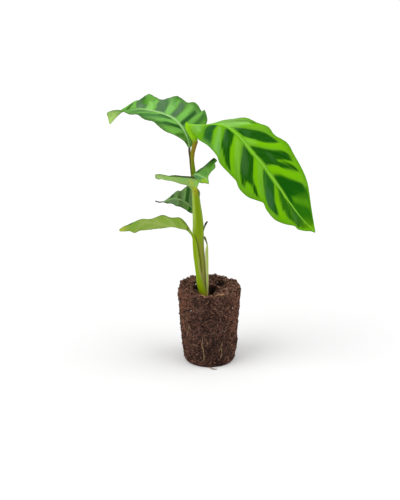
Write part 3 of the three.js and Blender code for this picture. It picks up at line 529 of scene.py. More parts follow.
# The plug's body, in millimetres
PLUG_HEIGHT = 60
PLUG_TOP_RADIUS = 23.8
PLUG_BOTTOM_RADIUS = 19.6
PLUG_EDGE = 2  # height of the rounding at the foot
PLUG_SHOULDER = 0.3  # how far the side draws in at the top
SHOULDER_HEIGHT = 3
PLUG_SWELL = 0.9  # how far its left side swells out
RIM_RISE = 0.2
TOP_SLOPE = (-0.045, 0.01)  # in x and in y
HOLLOWS = [((-2, -11), 12, 7), ((8, 5), 6, 4)]  # centre, radius, depth
LUMP_SEED = 7
LUMP_COUNT = 110
LUMP_SIZE = (2.5, 4)  # the least, and the most above it
LUMP_RISE = 0.8
PLUG_SIDES = 300
SIDE_RINGS = 222
TOP_RINGS = 105
PIT_DEPTH = 1.2
TOP_ROUGHNESS = 1.25  # of the top, where the side's is 1
EDGE_LIGHT_LEFT = 0.9  # painted light, in lighter warm brown, on the left edge of the side; the next line is the right edge's
EDGE_LIGHT_RIGHT = 0.7
LOW_SHADE = 0.4  # how dark the foot is
FRONT_SHADE = 0.26  # how dark the middle of the front is
LIP_MIDDLE = 4  # of the pale fibres at the front of the top, in x
LIP_REACH = 9
LIP_WARMTH = 0.6
# Hollows between the clods of the top, sunk a little and painted near-black as their shade: x, y, radius
PITS = [
    (8.5, 7.5, 5.4), (2, -2.5, 4), (-0.5, -7, 2.6), (-10.5, -4, 3.6), (-12, 3.5, 3), (-16, 9, 2),
    (13, -3, 1.8), (2, 12, 2.4), (-4, 9, 2.6), (-12, 19, 2.4), (-8, 20.5, 1.8), (-16, 15, 1.6),
    (5, 20.5, 2), (14, 16, 2.2), (18, 8, 1.8), (-18, -4, 1.6), (15, 3, 1.4), (-20, 4, 1.3), (8, 15, 1.6),
]
GREY_COIR = (86, 72, 64)
RED_COIR = (94, 50, 46)
# near-black painted shade of the coir's tiny crevices
CREVICE_SHADE = (20, 11, 8)
# lighter warm brown: painted light on the edges of the side, and the pale fibres of the front lip
LIT_EDGE_AND_LIP_COIR = (160, 108, 82)
# near-black painted shade in the pits
PIT_SHADE_COIR = (18, 13, 8)

# What lies on the plug
LITTER_SEED = 23
# The two tones of each loose material
TONES = {
    "tan_fibre": ((178, 136, 110), (138, 98, 80)),
    "dark_fibre": ((62, 42, 36), (34, 22, 18)),
    "brown_fibre": ((134, 94, 78), (96, 66, 54)),
    "straw": ((190, 146, 106), (150, 112, 80)),
    "wood": ((206, 160, 126), (146, 106, 80)),
    "pale_root": ((146, 122, 90), (106, 84, 62)),
    "perlite": ((206, 198, 186), (168, 158, 146)),
}
WOOD_GRAIN = 700.0
# Threads on the side: material, number, length, thickness, lift
SIDE_THREADS = {
    "tan_fibres": ("tan_fibre", 240, 4.5, 0.2, 0.4),
    "dark_fibres": ("dark_fibre", 460, 6, 0.26, 0.4),
    "brown_fibres": ("brown_fibre", 300, 5, 0.24, 0.4),
    "straw_bits": ("straw", 30, 5, 0.2, 0.5),
}
# Curly threads and chips on the top: material, sides, flatness, number, length, thickness, lift, curl
TOP_CURLS = {
    "top_curls": ("tan_fibre", 5, 1.0, 330, 6, 0.2, 1.0, 3.0),
    "top_chips": ("brown_fibre", 6, 0.6, 260, 6, 0.38, 0.9, 2.2),
    "top_threads": ("dark_fibre", 4, 1.0, 260, 9, 0.12, 1.2, 3.0),
}
TOP_REACH = 23  # how far out they go
CURL_START = 22.6  # how far out they begin
# Wood shreds at the front lip: start and end on the top, and how high they stand
SHREDS = [
    ((-4, -20.5), (3, -22.8), 0.7), ((0, -21.6), (9, -21), 0.8), ((5, -19.6), (13, -19.2), 0.8),
    ((9, -18.4), (14.5, -17), 0.9), ((-8.5, -20.6), (-2, -22.6), 0.6), ((2, -20), (11, -20.6), 1.0),
]
SHRED_THICKNESS = 0.55
SHRED_FLATNESS = 0.45
# Grains: material, number, smallest and largest size, share on the top, inner radius there
GRAINS = {
    "crumbs": ("coir", 1100, 0.35, 1.2, 0.4, 0.0),
    "dark_crumbs": ("dark_fibre", 700, 0.3, 0.65, 0.3, 0.0),
    "tan_crumbs": ("tan_fibre", 330, 0.22, 0.5, 0.35, 0.0),
    "clods": ("clod", 170, 0.8, 1.9, 1.0, 12.0),
}
GRAIN_REACH = 22.8  # how far out they lie on the top
# Pale grains: angle, height and size on the side, then x, y and size on the top, then the scattered ones
SIDE_GRAINS = [(-128, 47, 0.5), (-42, 48, 0.55), (-75, 36.5, 0.4), (-38, 36, 0.4), (-60, 30, 0.35)]
TOP_GRAINS = [(-10.6, -1.2, 0.85), (6, 9, 0.5), (-17, 3, 0.45)]
SCATTERED_GRAINS = (12, 0.2, 0.38, 0.35)
# Roots on the side: angles in degrees and heights. The creeping root: x, y, z
SURFACE_ROOTS = [
    [(-104, 27), (-105, 20), (-102, 13), (-103, 7), (-100, 3)],
    [(-62, 22), (-66, 17), (-64, 11), (-69, 6)],
    [(-140, 40), (-136, 33), (-139, 26), (-133, 19)],
    [(60, 34), (66, 26), (63, 18), (70, 10), (68, 4)],
    [(130, 25), (124, 19), (127, 12), (121, 6)],
]
CREEPING_ROOT = [(-1, -17.5, 1.1), (0, -20, 0.75), (1.6, -22.3, 0.6), (4, -23.2, 0.55), (6, -22.6, 0.5)]
ROOT_THICKNESS = 0.36
CREEPING_THICKNESS = 0.38
ROOT_STEPS = 40


# Curves and surfaces

def through(stations, t):
    """Points of the smooth curve through the stations at the shares t, and its direction there."""
    p = np.asarray(stations, float)
    spans = len(p) - 1
    place = np.clip(np.atleast_1d(t), 0, 1) * spans
    span = np.minimum(place.astype(int), spans - 1)
    f = (place - span)[:, None]
    q = np.vstack([2 * p[0] - p[1], p, 2 * p[-1] - p[-2]])
    a, b, c, d = q[span], q[span + 1], q[span + 2], q[span + 3]
    square = 2 * a - 5 * b + 4 * c - d
    cube = 3 * b - a - 3 * c + d
    point = 0.5 * (2 * b + (c - a) * f + square * f ** 2 + cube * f ** 3)
    return point, unit((c - a) + 2 * square * f + 3 * cube * f ** 2)


def smoothstep(value, low, high):
    share = np.clip((value - low) / (high - low), 0, 1)
    return share * share * (3 - 2 * share)


def unit(vectors):
    return vectors / np.maximum(np.linalg.norm(vectors, axis=-1, keepdims=True), 1e-9)


def srgb(colour):
    """A linear colour from the 0 to 255 values of a picture."""
    def linear(value):
        share = value / 255
        return share / 12.92 if share <= 0.04045 else ((share + 0.055) / 1.055) ** 2.4
    return tuple(linear(value) for value in colour)


def mesh_object(name, points, faces, materials, face_materials=None, layers=None, uvs=None):
    """A smooth-shaded object in place, in metres, from points in millimetres."""
    mesh = bpy.data.meshes.new(name)
    mesh.from_pydata((np.asarray(points, float) * MM).tolist(), [], [list(map(int, face)) for face in faces])
    for material in materials:
        mesh.materials.append(material)
    if face_materials is not None:
        mesh.polygons.foreach_set("material_index", np.asarray(face_materials, np.int32))
    mesh.polygons.foreach_set("use_smooth", np.ones(len(mesh.polygons), bool))
    for layer_name, values in (layers or {}).items():
        layer = mesh.attributes.new(layer_name, "FLOAT_COLOR", "POINT")
        layer.data.foreach_set("color", np.asarray(values, np.float32).ravel())
    if uvs is not None:
        corners = np.empty(len(mesh.loops), np.int32)
        mesh.loops.foreach_get("vertex_index", corners)
        layer = mesh.uv_layers.new(name="UVMap")
        layer.data.foreach_set("uv", np.asarray(uvs, np.float32)[corners].ravel())
    mesh.update()
    piece = bpy.data.objects.new(name, mesh)
    bpy.context.scene.collection.objects.link(piece)
    return piece


def skin(rings, first, last):
    """Points and faces of a closed tube."""
    count, sides = rings.shape[:2]
    index = np.arange(count * sides).reshape(count, sides)
    after = np.roll(index, -1, axis=1)
    faces = np.stack([index[:-1], after[:-1], after[1:], index[1:]], -1).reshape(-1, 4).tolist()
    ends = [count * sides, count * sides + 1]
    faces += [[ends[0], int(after[0, k]), int(index[0, k])] for k in range(sides)]
    faces += [[ends[1], int(index[-1, k]), int(after[-1, k])] for k in range(sides)]
    return np.vstack([rings.reshape(-1, 3), first, last]), faces


class Paint:
    """Colours laid over one another at the points of a mesh, each with its share."""

    def __init__(self, shape):
        self.colour = np.zeros((*shape, 3))
        self.amount = np.zeros(shape)

    def lay(self, share, colour):
        self.colour = self.colour * (1 - share[..., None]) + np.array(srgb(colour)) * share[..., None]
        self.amount = self.amount * (1 - share) + share

    def layer(self):
        plain = self.colour / np.maximum(self.amount, 1e-6)[..., None]
        return np.concatenate([plain, self.amount[..., None]], -1).reshape(-1, 4)


# Node graphs

class Graph:
    """A material's node tree, with one short call for each kind of step."""

    def __init__(self, name):
        self.material = bpy.data.materials.new(name)
        self.material.use_nodes = True
        self.tree = self.material.node_tree
        self.shader = self.tree.nodes["Principled BSDF"]

    def put(self, socket, value):
        if isinstance(value, bpy.types.NodeSocket):
            self.tree.links.new(value, socket)
        elif isinstance(value, tuple) and len(value) == 3 and socket.type == "RGBA":
            socket.default_value = (*value, 1)
        else:
            socket.default_value = value

    def node(self, kind, inputs, **settings):
        made = self.tree.nodes.new("ShaderNode" + kind)
        for key, value in settings.items():
            setattr(made, key, value)
        for key, value in inputs.items():
            self.put(made.inputs[key], value)
        return made

    def math(self, operation, first, second):
        return self.node("Math", {0: first, 1: second}, operation=operation).outputs[0]

    def range(self, value, low, high, out_low=0.0, out_high=1.0):
        inputs = {"Value": value, "From Min": low, "From Max": high, "To Min": out_low, "To Max": out_high}
        return self.node("MapRange", inputs, interpolation_type="SMOOTHSTEP").outputs["Result"]

    def mix(self, share, first, second):
        return self.node("Mix", {0: share, 6: first, 7: second}, data_type="RGBA").outputs[2]

    def coats(self, colour, *coats):
        """The colour under coats: what each follows, where it begins and is full, its most and its tone."""
        for source, low, high, most, tone in coats:
            colour = self.mix(self.range(source, low, high, 0.0, most), colour, tone)
        return colour

    def noise(self, vector, scale, detail=4.0, roughness=0.55, distortion=0.0):
        """Noise of one scale, or of three along the axes."""
        if isinstance(scale, tuple):
            vector = self.node("Mapping", {"Vector": vector, "Scale": scale}).outputs["Vector"]
            scale = 1.0
        inputs = {"Vector": vector, "Scale": scale, "Detail": detail, "Roughness": roughness}
        return self.node("TexNoise", {**inputs, "Distortion": distortion}).outputs["Fac"]

    def coordinates(self, kind):
        return self.node("TexCoord", {}).outputs[kind]

    def layer(self, name):
        """Colour and strength of a colour layer of the mesh."""
        made = self.node("Attribute", {}, attribute_name=name, attribute_type="GEOMETRY")
        return made.outputs["Color"], made.outputs["Alpha"]

    def marks(self):
        """The four numbers of the layer called marks."""
        colour, last = self.layer("marks")
        return (*self.node("SeparateColor", {"Color": colour}).outputs, last)

    def bump(self, height, distance, strength=1.0):
        made = self.node("Bump", {"Height": height, "Distance": distance, "Strength": strength})
        self.put(self.shader.inputs["Normal"], made.outputs["Normal"])

    def finish(self, colour, roughness, specular):
        self.put(self.shader.inputs["Base Color"], colour)
        self.put(self.shader.inputs["Roughness"], roughness)
        self.put(self.shader.inputs["Specular IOR Level"], specular)
        return self.material


def leaf_upper(name, look):
    """Dark bands on a light ground, combed along the side veins, with the midrib and the margin."""
    graph = Graph(name)
    uv = graph.coordinates("UV")
    place = graph.coordinates("Object")
    band, rib, edge, glow = graph.marks()
    paint, amount = graph.layer("paint")
    combed = graph.noise(uv, (80, 3, 1), 5.0, 0.65)
    streaks = graph.noise(uv, (34, 2, 1), 3.0, 0.6)
    fine = graph.noise(uv, (330, 5, 1), 3.0, 0.6)
    patches = graph.noise(place, 55.0, 3.0)
    share = graph.math("ADD", band, graph.math("MULTIPLY", graph.math("SUBTRACT", combed, 0.5), 1.2))
    share = graph.range(share, 0.08, 0.9)
    tone = graph.math("ADD", graph.math("MULTIPLY", patches, 0.5), graph.math("MULTIPLY", streaks, 0.5))
    ground = graph.mix(graph.range(tone, 0.42, 0.58), look["light"], look["pale"])
    ground = graph.coats(ground, (combed, 0.5, 0.66, 0.3, look["dark"]))
    ground = graph.mix(glow, ground, look["lime"])
    dark = graph.mix(graph.range(combed, 0.38, 0.62), look["dark"], look["deep"])
    colour = graph.mix(share, ground, dark)
    laid = graph.math("MULTIPLY", amount, graph.range(combed, 0.4, 0.6, 1.0, 0.75))
    colour = graph.mix(laid, colour, paint)
    colour = graph.coats(colour, (fine, 0.52, 0.8, 0.35, look["light"]))
    colour = graph.coats(colour, (streaks, 0.56, 0.7, 0.2, look["dark"]))
    colour = graph.mix(rib, colour, look["rib"])
    colour = graph.mix(edge, colour, look["margin"])
    height = graph.math("ADD", graph.math("MULTIPLY", combed, 0.7), graph.math("MULTIPLY", fine, 0.5))
    graph.bump(height, 0.00012, 0.8)
    return graph.finish(colour, graph.range(combed, 0.3, 0.7, 0.42, 0.55), 0.03)


def leaf_under(name, look, cover):
    """The pale underside, with the bands showing through faintly."""
    graph = Graph(name)
    uv = graph.coordinates("UV")
    place = graph.coordinates("Object")
    band, rib, edge, _ = graph.marks()
    paint, amount = graph.layer("paint")
    combed = graph.noise(uv, (80, 3.5, 1), 4.0, 0.6)
    patches = graph.noise(place, 90.0, 3.0)
    colour = graph.coats(look["under"], (combed, 0.35, 0.7, 0.45, look["under_band"]))
    colour = graph.mix(graph.math("MULTIPLY", band, cover), colour, look["under_band"])
    colour = graph.coats(colour, (patches, 0.45, 0.7, 0.25, look["rib"]))
    colour = graph.mix(rib, colour, look["rib"])
    colour = graph.mix(edge, colour, look["margin"])
    colour = graph.mix(amount, colour, paint)
    graph.bump(combed, 0.00015, 0.8)
    return graph.finish(colour, graph.range(combed, 0.3, 0.7, 0.5, 0.62), 0.06)


def stalk_material(name, body, shade):
    """Fine lengthwise streaks in two tones, under the strokes of paint."""
    graph = Graph(name)
    place = graph.coordinates("Object")
    paint, amount = graph.layer("paint")
    lines = graph.noise(place, (1400, 1400, 60), 4.0, 0.6)
    patches = graph.noise(place, (300, 300, 80), 3.0)
    colour = graph.coats(body, (lines, 0.35, 0.7, 0.8, shade))
    laid = graph.math("MULTIPLY", amount, graph.range(patches, 0.3, 0.6, 0.8, 1.0))
    colour = graph.mix(laid, colour, paint)
    colour = graph.coats(colour, (lines, 0.55, 0.75, 0.25, shade))
    graph.bump(lines, 0.00012, 0.8)
    return graph.finish(colour, graph.range(lines, 0.3, 0.7, 0.4, 0.54), 0.1)


def grain_material(name, tones, scale=260.0, distance=0.00005):
    """Two tones in fine patches, for threads, shreds, grains and dead tips."""
    graph = Graph(name)
    place = graph.coordinates("Object")
    grain = graph.noise(place, scale, 3.0)
    colour = graph.mix(graph.range(grain, 0.38, 0.62), *map(srgb, tones))
    graph.bump(graph.noise(place, 3000.0, 3.0), distance)
    return graph.finish(colour, 0.85, 0.2)


def coir_material(name, dark, middle, light):
    """Crumbly coir: black specks of painted crevice shade, reddish and grey patches, pale thread ends, and
    from the marks the painted shade of the pits, painted light on the side's edges with the pale lip fibres,
    and painted shade on the front and foot.
    """
    graph = Graph(name)
    place = graph.coordinates("Object")
    shaded_pit, lit_edges_and_lip, painted_shade, _ = graph.marks()
    dark, light = srgb(dark), srgb(light)
    crumbs = graph.noise(place, 560.0, 6.0, 0.72, 0.6)
    specks = graph.noise(place, 1150.0, 3.0, 0.6)
    threads = graph.noise(place, (1000, 1000, 380), 4.0, 0.6, 1.6)
    patches = graph.noise(place, 150.0, 4.0, 0.65)
    tints = graph.noise(place, 240.0, 2.0)
    colour = graph.coats(
        graph.mix(graph.range(crumbs, 0.44, 0.54), dark, srgb(middle)),
        (tints, 0.54, 0.66, 0.45, srgb(GREY_COIR)), (tints, 0.46, 0.34, 0.45, srgb(RED_COIR)),
        (threads, 0.54, 0.64, 0.85, light), (specks, 0.57, 0.64, 0.85, light),
        # painted shade: near-black specks for the tiny crevices
        (specks, 0.45, 0.36, 0.95, srgb(CREVICE_SHADE)), (patches, 0.5, 0.62, 0.6, dark),
    )
    # painted light on the left and right edges of the side, and the pale lip fibres, in lighter warm brown
    colour = graph.mix(graph.math("MULTIPLY", lit_edges_and_lip, graph.range(crumbs, 0.43, 0.55)), colour, srgb(LIT_EDGE_AND_LIP_COIR))
    # painted shade on the middle of the front and on the foot
    colour = graph.mix(painted_shade, colour, dark)
    # painted shade in the pits
    colour = graph.mix(shaded_pit, colour, srgb(PIT_SHADE_COIR))
    graph.bump(graph.math("ADD", crumbs, graph.math("MULTIPLY", threads, 0.6)), 0.0014)
    return graph.finish(colour, 0.95, 0.12)


# Leaves

def strip(half, edges, v):
    """Where a strip across one half of a blade begins and ends in u at each v, and how much is there."""
    reach = np.abs(v)
    places, lows, highs = np.array(edges).T / 100
    there = smoothstep(reach, places[0] - 0.05, places[0] + 0.02)
    there = there * (1 - smoothstep(reach, places[-1] - 0.06, places[-1] + 0.09)) * ((v < 0) == (half < 0))
    return np.interp(reach, places, lows), np.interp(reach, places, highs), there


def between(u, low, high, begin, end):
    """1 between two edges, with soft sides."""
    return smoothstep(u, low - begin, low + begin) * (1 - smoothstep(u, high - end, high + end))


def blade_pattern(leaf, u, v):
    """How dark the bands are at each point, the glow just behind them, and the paint of bands and spots."""
    cover, glow, paint = np.zeros_like(u), np.zeros_like(u), Paint(u.shape)
    for half, strength, edges, *own in leaf["bands"]:
        low, high, there = strip(half, edges, v)
        there = there * (strength / 100)
        core = between(u, low, high, BASE_FEATHER, BAND_FEATHER)
        halo = between(u, low, high, BAND_HALO, BAND_HALO)
        glow_start, glow_end = GLOW_END
        behind = smoothstep(u, high, high + BAND_FEATHER)
        behind = behind * (1 - smoothstep(u, high + glow_start, high + glow_end))
        cover = np.maximum(cover, (BAND_CORE * core + (1 - BAND_CORE) * halo) * there)
        glow = np.maximum(glow, behind * there)
        if own:
            paint.lay(OWN_COLOUR * core * there, own[0])
    for half, strength, edges, colour in leaf.get("streaks", ()):
        low, high, there = strip(half, edges, v)
        paint.lay(between(u, low, high, STREAK_FEATHER, STREAK_FEATHER) * there * (strength / 100), colour)
    for at_u, at_v, reach_u, reach_v, colour, strength in leaf["spots"]:
        away = np.hypot((100 * u - at_u) / reach_u, (100 * v - at_v) / reach_v)
        paint.lay(strength / 100 * (1 - smoothstep(away, SPOT_CORE, 1)), colour)
    return cover, glow, paint.layer()


def blade_faces(leaf, middle, normal):
    """Faces of the upper side, the under side and the rim, and the material of each."""
    rows, wide = middle.shape[:2]
    count = rows * wide
    index = np.arange(count).reshape(rows, wide)
    quads = np.stack([index[:-1, :-1], index[:-1, 1:], index[1:, 1:], index[1:, :-1]], -1).reshape(-1, 4)
    rim = np.concatenate([index[0, :-1], index[:-1, -1], index[-1, :0:-1], index[:0:-1, 0]])
    after = np.roll(rim, -1)
    sides = np.stack([rim, rim + count, after + count, after], -1)
    faces = np.concatenate([quads, quads[:, ::-1] + count, sides])
    first = np.cross(middle[1, 1] - middle[0, 1], middle[0, 2] - middle[0, 1])
    if np.sum(first * normal[0, 1]) >= 0:
        faces = faces[:, ::-1]
    kinds = np.concatenate([np.zeros(len(quads)), np.ones(len(quads)), np.ones(len(sides))])
    if "withered_from" in leaf:
        kinds[faces[:, 0] % count // wide > leaf["withered_from"] * (rows - 1)] = 2
    return faces, kinds


def blade_piece(name, leaf, materials):
    """A pleated blade with two faces, a ridge along the midrib below and a channel above."""
    rows, half_columns = leaf["rows"], leaf["columns"]
    spread = (np.arange(half_columns + 1) / half_columns) ** CROWDING
    along = np.linspace(0, 1, rows + 1)
    u, v = np.meshgrid(along, np.concatenate([-spread[:0:-1], spread]), indexing="ij")
    spine, direction = through(leaf["midrib"], along)
    near, _ = through(leaf["near"], along)
    far, _ = through(leaf["far"], along)
    reach = np.abs(v)
    half = np.where(v[..., None] < 0, (near - spine)[:, None], (far - spine)[:, None])
    length = np.linalg.norm(half, axis=-1)
    upward = unit(np.cross(direction[:, None], half)) * (np.sign(v) * leaf["top_side"])[..., None]
    arch = 4 * leaf["camber"] * reach * (1 - reach) * length
    turns = 2 * np.pi * leaf["pleats"]
    wave = np.sin(turns * (u - 0.04 * reach)) * leaf["pleat_height"]
    veins = np.sin(turns * VEINS_PER_PLEAT * (u - 0.05 * reach)) * VEIN_HEIGHT * np.minimum(1, length / 12)
    lift = arch + (wave + veins) * reach * np.sin(np.pi * u)
    middle = spine[:, None] + half * reach[..., None] + upward * lift[..., None]
    normal = unit(np.cross(np.gradient(middle, axis=0), np.gradient(middle, axis=1))) * -leaf["top_side"]
    if np.sum(normal[rows // 2, -2] * upward[rows // 2, -2]) < 0:
        normal = -normal
    from_rib = reach * length
    from_margin = (1 - reach) * length
    thick = BLADE_THICKNESS - MARGIN_THICKNESS
    thick = MARGIN_THICKNESS + thick * smoothstep(from_margin, 0, MARGIN_REACH)
    taper = (1 - 0.75 * u) * np.minimum(1, length / 4)
    ridge = RIB_HEIGHT * taper * np.exp(-((from_rib / (RIB_SPREAD * (1 - 0.5 * u))) ** 2))
    groove = GROOVE_DEPTH * taper * np.exp(-((from_rib / (0.7 * RIB_SPREAD)) ** 2))
    upper = middle + normal * (thick / 2 - groove)[..., None]
    lower = middle - normal * (thick / 2 + ridge)[..., None]
    faces, kinds = blade_faces(leaf, middle, normal)
    cover, glow, paint = blade_pattern(leaf, u, v)
    rib_width = 0.75 * (1 - 0.6 * u) + 0.15
    rib = leaf["rib"] * (1 - smoothstep(from_rib, 0.35 * rib_width, 1.15 * rib_width))
    edge = (1 - smoothstep(from_margin, 0.1, 0.8)) * 0.85 * smoothstep(u, 0.02, 0.1)
    marks = np.stack([cover, rib, edge, glow], -1).reshape(-1, 4)
    skew = np.where(v < 0, *leaf["skew"])
    size = np.sum(np.linalg.norm(np.diff(spine, axis=0), axis=1)) / 100
    uvs = np.stack([size * (u - skew * reach), 0.5 + 0.5 * v], -1).reshape(-1, 2)
    points = np.concatenate([upper.reshape(-1, 3), lower.reshape(-1, 3)])
    layers = {"marks": np.concatenate([marks, marks]), "paint": np.concatenate([paint, paint])}
    return mesh_object(name + "_blade", points, faces, materials, kinds, layers, np.concatenate([uvs, uvs]))


def make_leaves():
    withered = grain_material("withered", WITHERED, 900.0, 0.0002)
    for name, leaf in LEAVES.items():
        look = {key: srgb(colour) for key, colour in LOOKS[leaf["look"]].items()}
        upper = leaf_upper(name + "_upper", look)
        under = leaf_under(name + "_under", look, leaf["under_cover"])
        piece = blade_piece(name, leaf, [upper, under, withered])
        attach(piece, "root")
        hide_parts(name)


# Stalks

def stalk_piece(name, stalk):
    """A tapering oval stalk with shallow ridges and its strokes of paint."""
    stations = np.asarray(stalk["stations"], float)
    rough, _ = through(stations[:, :3], np.linspace(0, 1, 60))
    length = np.sum(np.linalg.norm(np.diff(rough, axis=0), axis=1))
    t = np.linspace(0, 1, max(6, int(math.ceil(length / STALK_STEP))) + 1)
    centre, along = through(stations[:, :3], t)
    size, _ = through(stations[:, 3:], t)
    across = unit(np.cross((0, 1, 0), along))
    ahead = np.cross(along, across)
    angle = np.arange(STALK_SIDES) * 2 * np.pi / STALK_SIDES
    radial = np.ones(STALK_SIDES)
    for height, count, turn in RIDGES:
        radial += height * np.sin(count * angle + turn)
    sideways = size[:, 0, None] * np.cos(angle) * radial
    forward = size[:, 1, None] * np.sin(angle) * radial
    rings = centre[:, None] + across[:, None] * sideways[..., None] + ahead[:, None] * forward[..., None]
    points, faces = skin(rings, centre[0], centre[-1])
    z = points[:, 2]
    around = np.append(np.tile(angle, len(t)), [0, 0])
    paint = Paint(z.shape)
    for middle, half_width, low, high, fade, colour, strength in stalk.get("strokes", ()):
        turn = around - np.radians(middle)
        away = np.abs(np.degrees(np.arctan2(np.sin(turn), np.cos(turn))))
        share = strength * (1 - smoothstep(away, 0.4 * half_width, half_width))
        paint.lay(share * between(z, low, high, fade, fade), colour)
    material = stalk_material(name + "_skin", srgb(stalk["body"]), srgb(stalk["shade"]))
    return mesh_object(name + "_fine", points, faces, [material], layers={"paint": paint.layer()})


def make_stalks():
    for name, stalk in STALKS.items():
        piece = stalk_piece(name, stalk)
        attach(piece, "root")
        if name not in WITHOUT_NODE:
            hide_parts(name)


# Plug

def random_from(seed):
    """Repeatable random numbers from 0 to 1."""
    state = seed
    while True:
        state = (state * 1664525 + 1013904223) % 4294967296
        yield state / 4294967296


def plug_lumps():
    """Soft lumps of the side: angle, height, size, rise."""
    random = random_from(LUMP_SEED)
    least, more = LUMP_SIZE
    lumps = []
    for _ in range(LUMP_COUNT):
        angle = 2 * math.pi * next(random)
        height = PLUG_HEIGHT * next(random)
        size = least + more * next(random)
        lumps.append((angle, height, size, LUMP_RISE * (2 * next(random) - 1)))
    return lumps


LUMPS = plug_lumps()


def plug_radius(angle, height):
    """Radius of the plug's side, with the same soft lumps as its solid."""
    angle, height = np.broadcast_arrays(np.asarray(angle, float), np.asarray(height, float))
    share = height / PLUG_HEIGHT
    taper = PLUG_BOTTOM_RADIUS + (PLUG_TOP_RADIUS - PLUG_BOTTOM_RADIUS) * share
    edge = np.maximum(0, 1 - height / PLUG_EDGE)
    shoulder = np.maximum(0, (height - PLUG_HEIGHT + SHOULDER_HEIGHT) / SHOULDER_HEIGHT)
    swell = PLUG_SWELL * np.sin(np.pi * share) * (0.5 - 0.5 * np.cos(angle))
    rough = np.zeros_like(angle)
    for lump_angle, lump_height, size, rise in LUMPS:
        turn = np.arctan2(np.sin(angle - lump_angle), np.cos(angle - lump_angle))
        distance = np.hypot(turn * PLUG_BOTTOM_RADIUS, height - lump_height)
        rough = rough + rise * np.exp(-((distance / size) ** 2))
    return taper + rough * np.minimum(1, height / 4) + swell - edge ** 2 - PLUG_SHOULDER * shoulder ** 2


def plug_top(x, y):
    """Height of the top: a sloping, uneven face with its hollows."""
    dip = 0
    for (centre_x, centre_y), radius, depth in HOLLOWS:
        dip = dip + depth * (1 - smoothstep(np.hypot(x - centre_x, y - centre_y) / radius, 0.25, 1.1))
    crumbs = 0.5 * np.sin(0.9 * x + 1.3) * np.sin(0.8 * y) + 0.35 * np.sin(1.7 * x - 1.1 * y)
    return PLUG_HEIGHT + RIM_RISE + TOP_SLOPE[0] * x + TOP_SLOPE[1] * y + crumbs - dip


def coir_roughness(where):
    """Soft waves, sharp creases and fine grain."""
    creases = abs(noise.noise(where * 0.8))
    return 0.4 * noise.noise(where * 0.32) - 1.4 * creases + 0.5 * noise.noise(where * 2.2) + 0.1


def plug_body(material):
    """The rough body, with marks for its pits and their painted shade, the painted light on the edges of its
    side with the pale fibres of the lip, and the painted shade on its front and foot.
    """
    angle = np.arange(PLUG_SIDES) * 2 * np.pi / PLUG_SIDES
    heights = np.linspace(0, PLUG_HEIGHT - 0.6, SIDE_RINGS)[:, None]
    radius = plug_radius(angle, heights)
    side = np.stack([radius * np.cos(angle), radius * np.sin(angle), heights + 0 * radius], -1)
    radius = np.linspace(0.995, 0.02, TOP_RINGS)[:, None] * plug_radius(angle, PLUG_HEIGHT)
    x, y = radius * np.cos(angle), radius * np.sin(angle)
    top = np.stack([x, y, plug_top(x, y)], -1)
    rings = np.concatenate([side, top])
    outward = unit(np.concatenate([side * (1, 1, 0), 0.25 * top * (1, 1, 0) + (0, 0, 9)]))
    rough = np.array([[coir_roughness(Vector(place)) for place in ring] for ring in rings])
    base = np.minimum(1, rings[..., 2] / 1.5)
    on_top = np.arange(len(rings))[:, None] >= SIDE_RINGS
    # the pits are sunk into the top and painted near-black as their shade
    shaded_pit = np.zeros_like(rough)
    for pit_x, pit_y, size in PITS:
        away = np.hypot(rings[..., 0] - pit_x, rings[..., 1] - pit_y)
        shaded_pit = np.maximum(shaded_pit, (1 - smoothstep(away, 0.5 * size, size)) * on_top)
    lift = (rough * np.where(on_top, TOP_ROUGHNESS, 1) - PIT_DEPTH * shaded_pit) * base
    rings = rings + outward * lift[..., None]
    x, y, z = np.moveaxis(rings, -1, 0)
    from_middle = np.abs(x)
    # painted light: the left and right edges of the side are lighter where the light from the sides falls;
    # the pale fibres of the front lip share this mark
    lit_edges_and_lip = smoothstep(from_middle, 11, 22) * np.where(x < 0, EDGE_LIGHT_LEFT, EDGE_LIGHT_RIGHT) * (1 - on_top)
    lip = np.exp(-(((x - LIP_MIDDLE) / LIP_REACH) ** 2)) * smoothstep(-y, 13, 19)
    lit_edges_and_lip = np.maximum(lit_edges_and_lip, LIP_WARMTH * lip * on_top)
    # painted shade: darker towards the foot and in the middle of the front
    low = LOW_SHADE * (1 - smoothstep(z, 4, 34))
    front = FRONT_SHADE * (1 - smoothstep(from_middle, 9, 19)) * (y < 0)
    painted_shade = (1 - (1 - low) * (1 - front)) * (1 - on_top)
    points, faces = skin(rings, (0, 0, 0), (0, 0, float(np.mean(rings[-1, :, 2]))))
    marks = np.stack([0.94 * shaded_pit, lit_edges_and_lip, painted_shade, 0 * shaded_pit], -1).reshape(-1, 4)
    marks = np.vstack([marks, np.zeros((2, 4))])
    piece = mesh_object("coir_plug", points, faces, [material], layers={"marks": marks})
    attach(piece, "root")
    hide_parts("root_plug")


def plug_mesh(name, points, faces, material):
    """A piece that lies on the plug."""
    piece = mesh_object(name, points, faces, [material])
    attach(piece, "root")


def strands(name, paths, material, sides=3, flat=1.0):
    """Many thin tapering tubes in one mesh; each path is a list of points and a radius."""
    points, faces = [], []
    angle = np.arange(sides)[None, :, None] * 2 * np.pi / sides
    for path, thickness in paths:
        path = np.asarray(path, float)
        along = unit(np.gradient(path, axis=0))
        across = unit(np.cross(along, (0.31, 0.22, 0.93)))
        ahead = np.cross(along, across) * flat
        taper = np.sin(np.linspace(0.35, math.pi - 0.25, len(path)))[:, None, None]
        section = across[:, None] * np.cos(angle) + ahead[:, None] * np.sin(angle)
        tube, tube_faces = skin(path[:, None] + thickness * taper * section, path[0], path[-1])
        start = len(points)
        points.extend(tube.tolist())
        faces.extend([[corner + start for corner in face] for face in tube_faces])
    plug_mesh(name, points, faces, material)


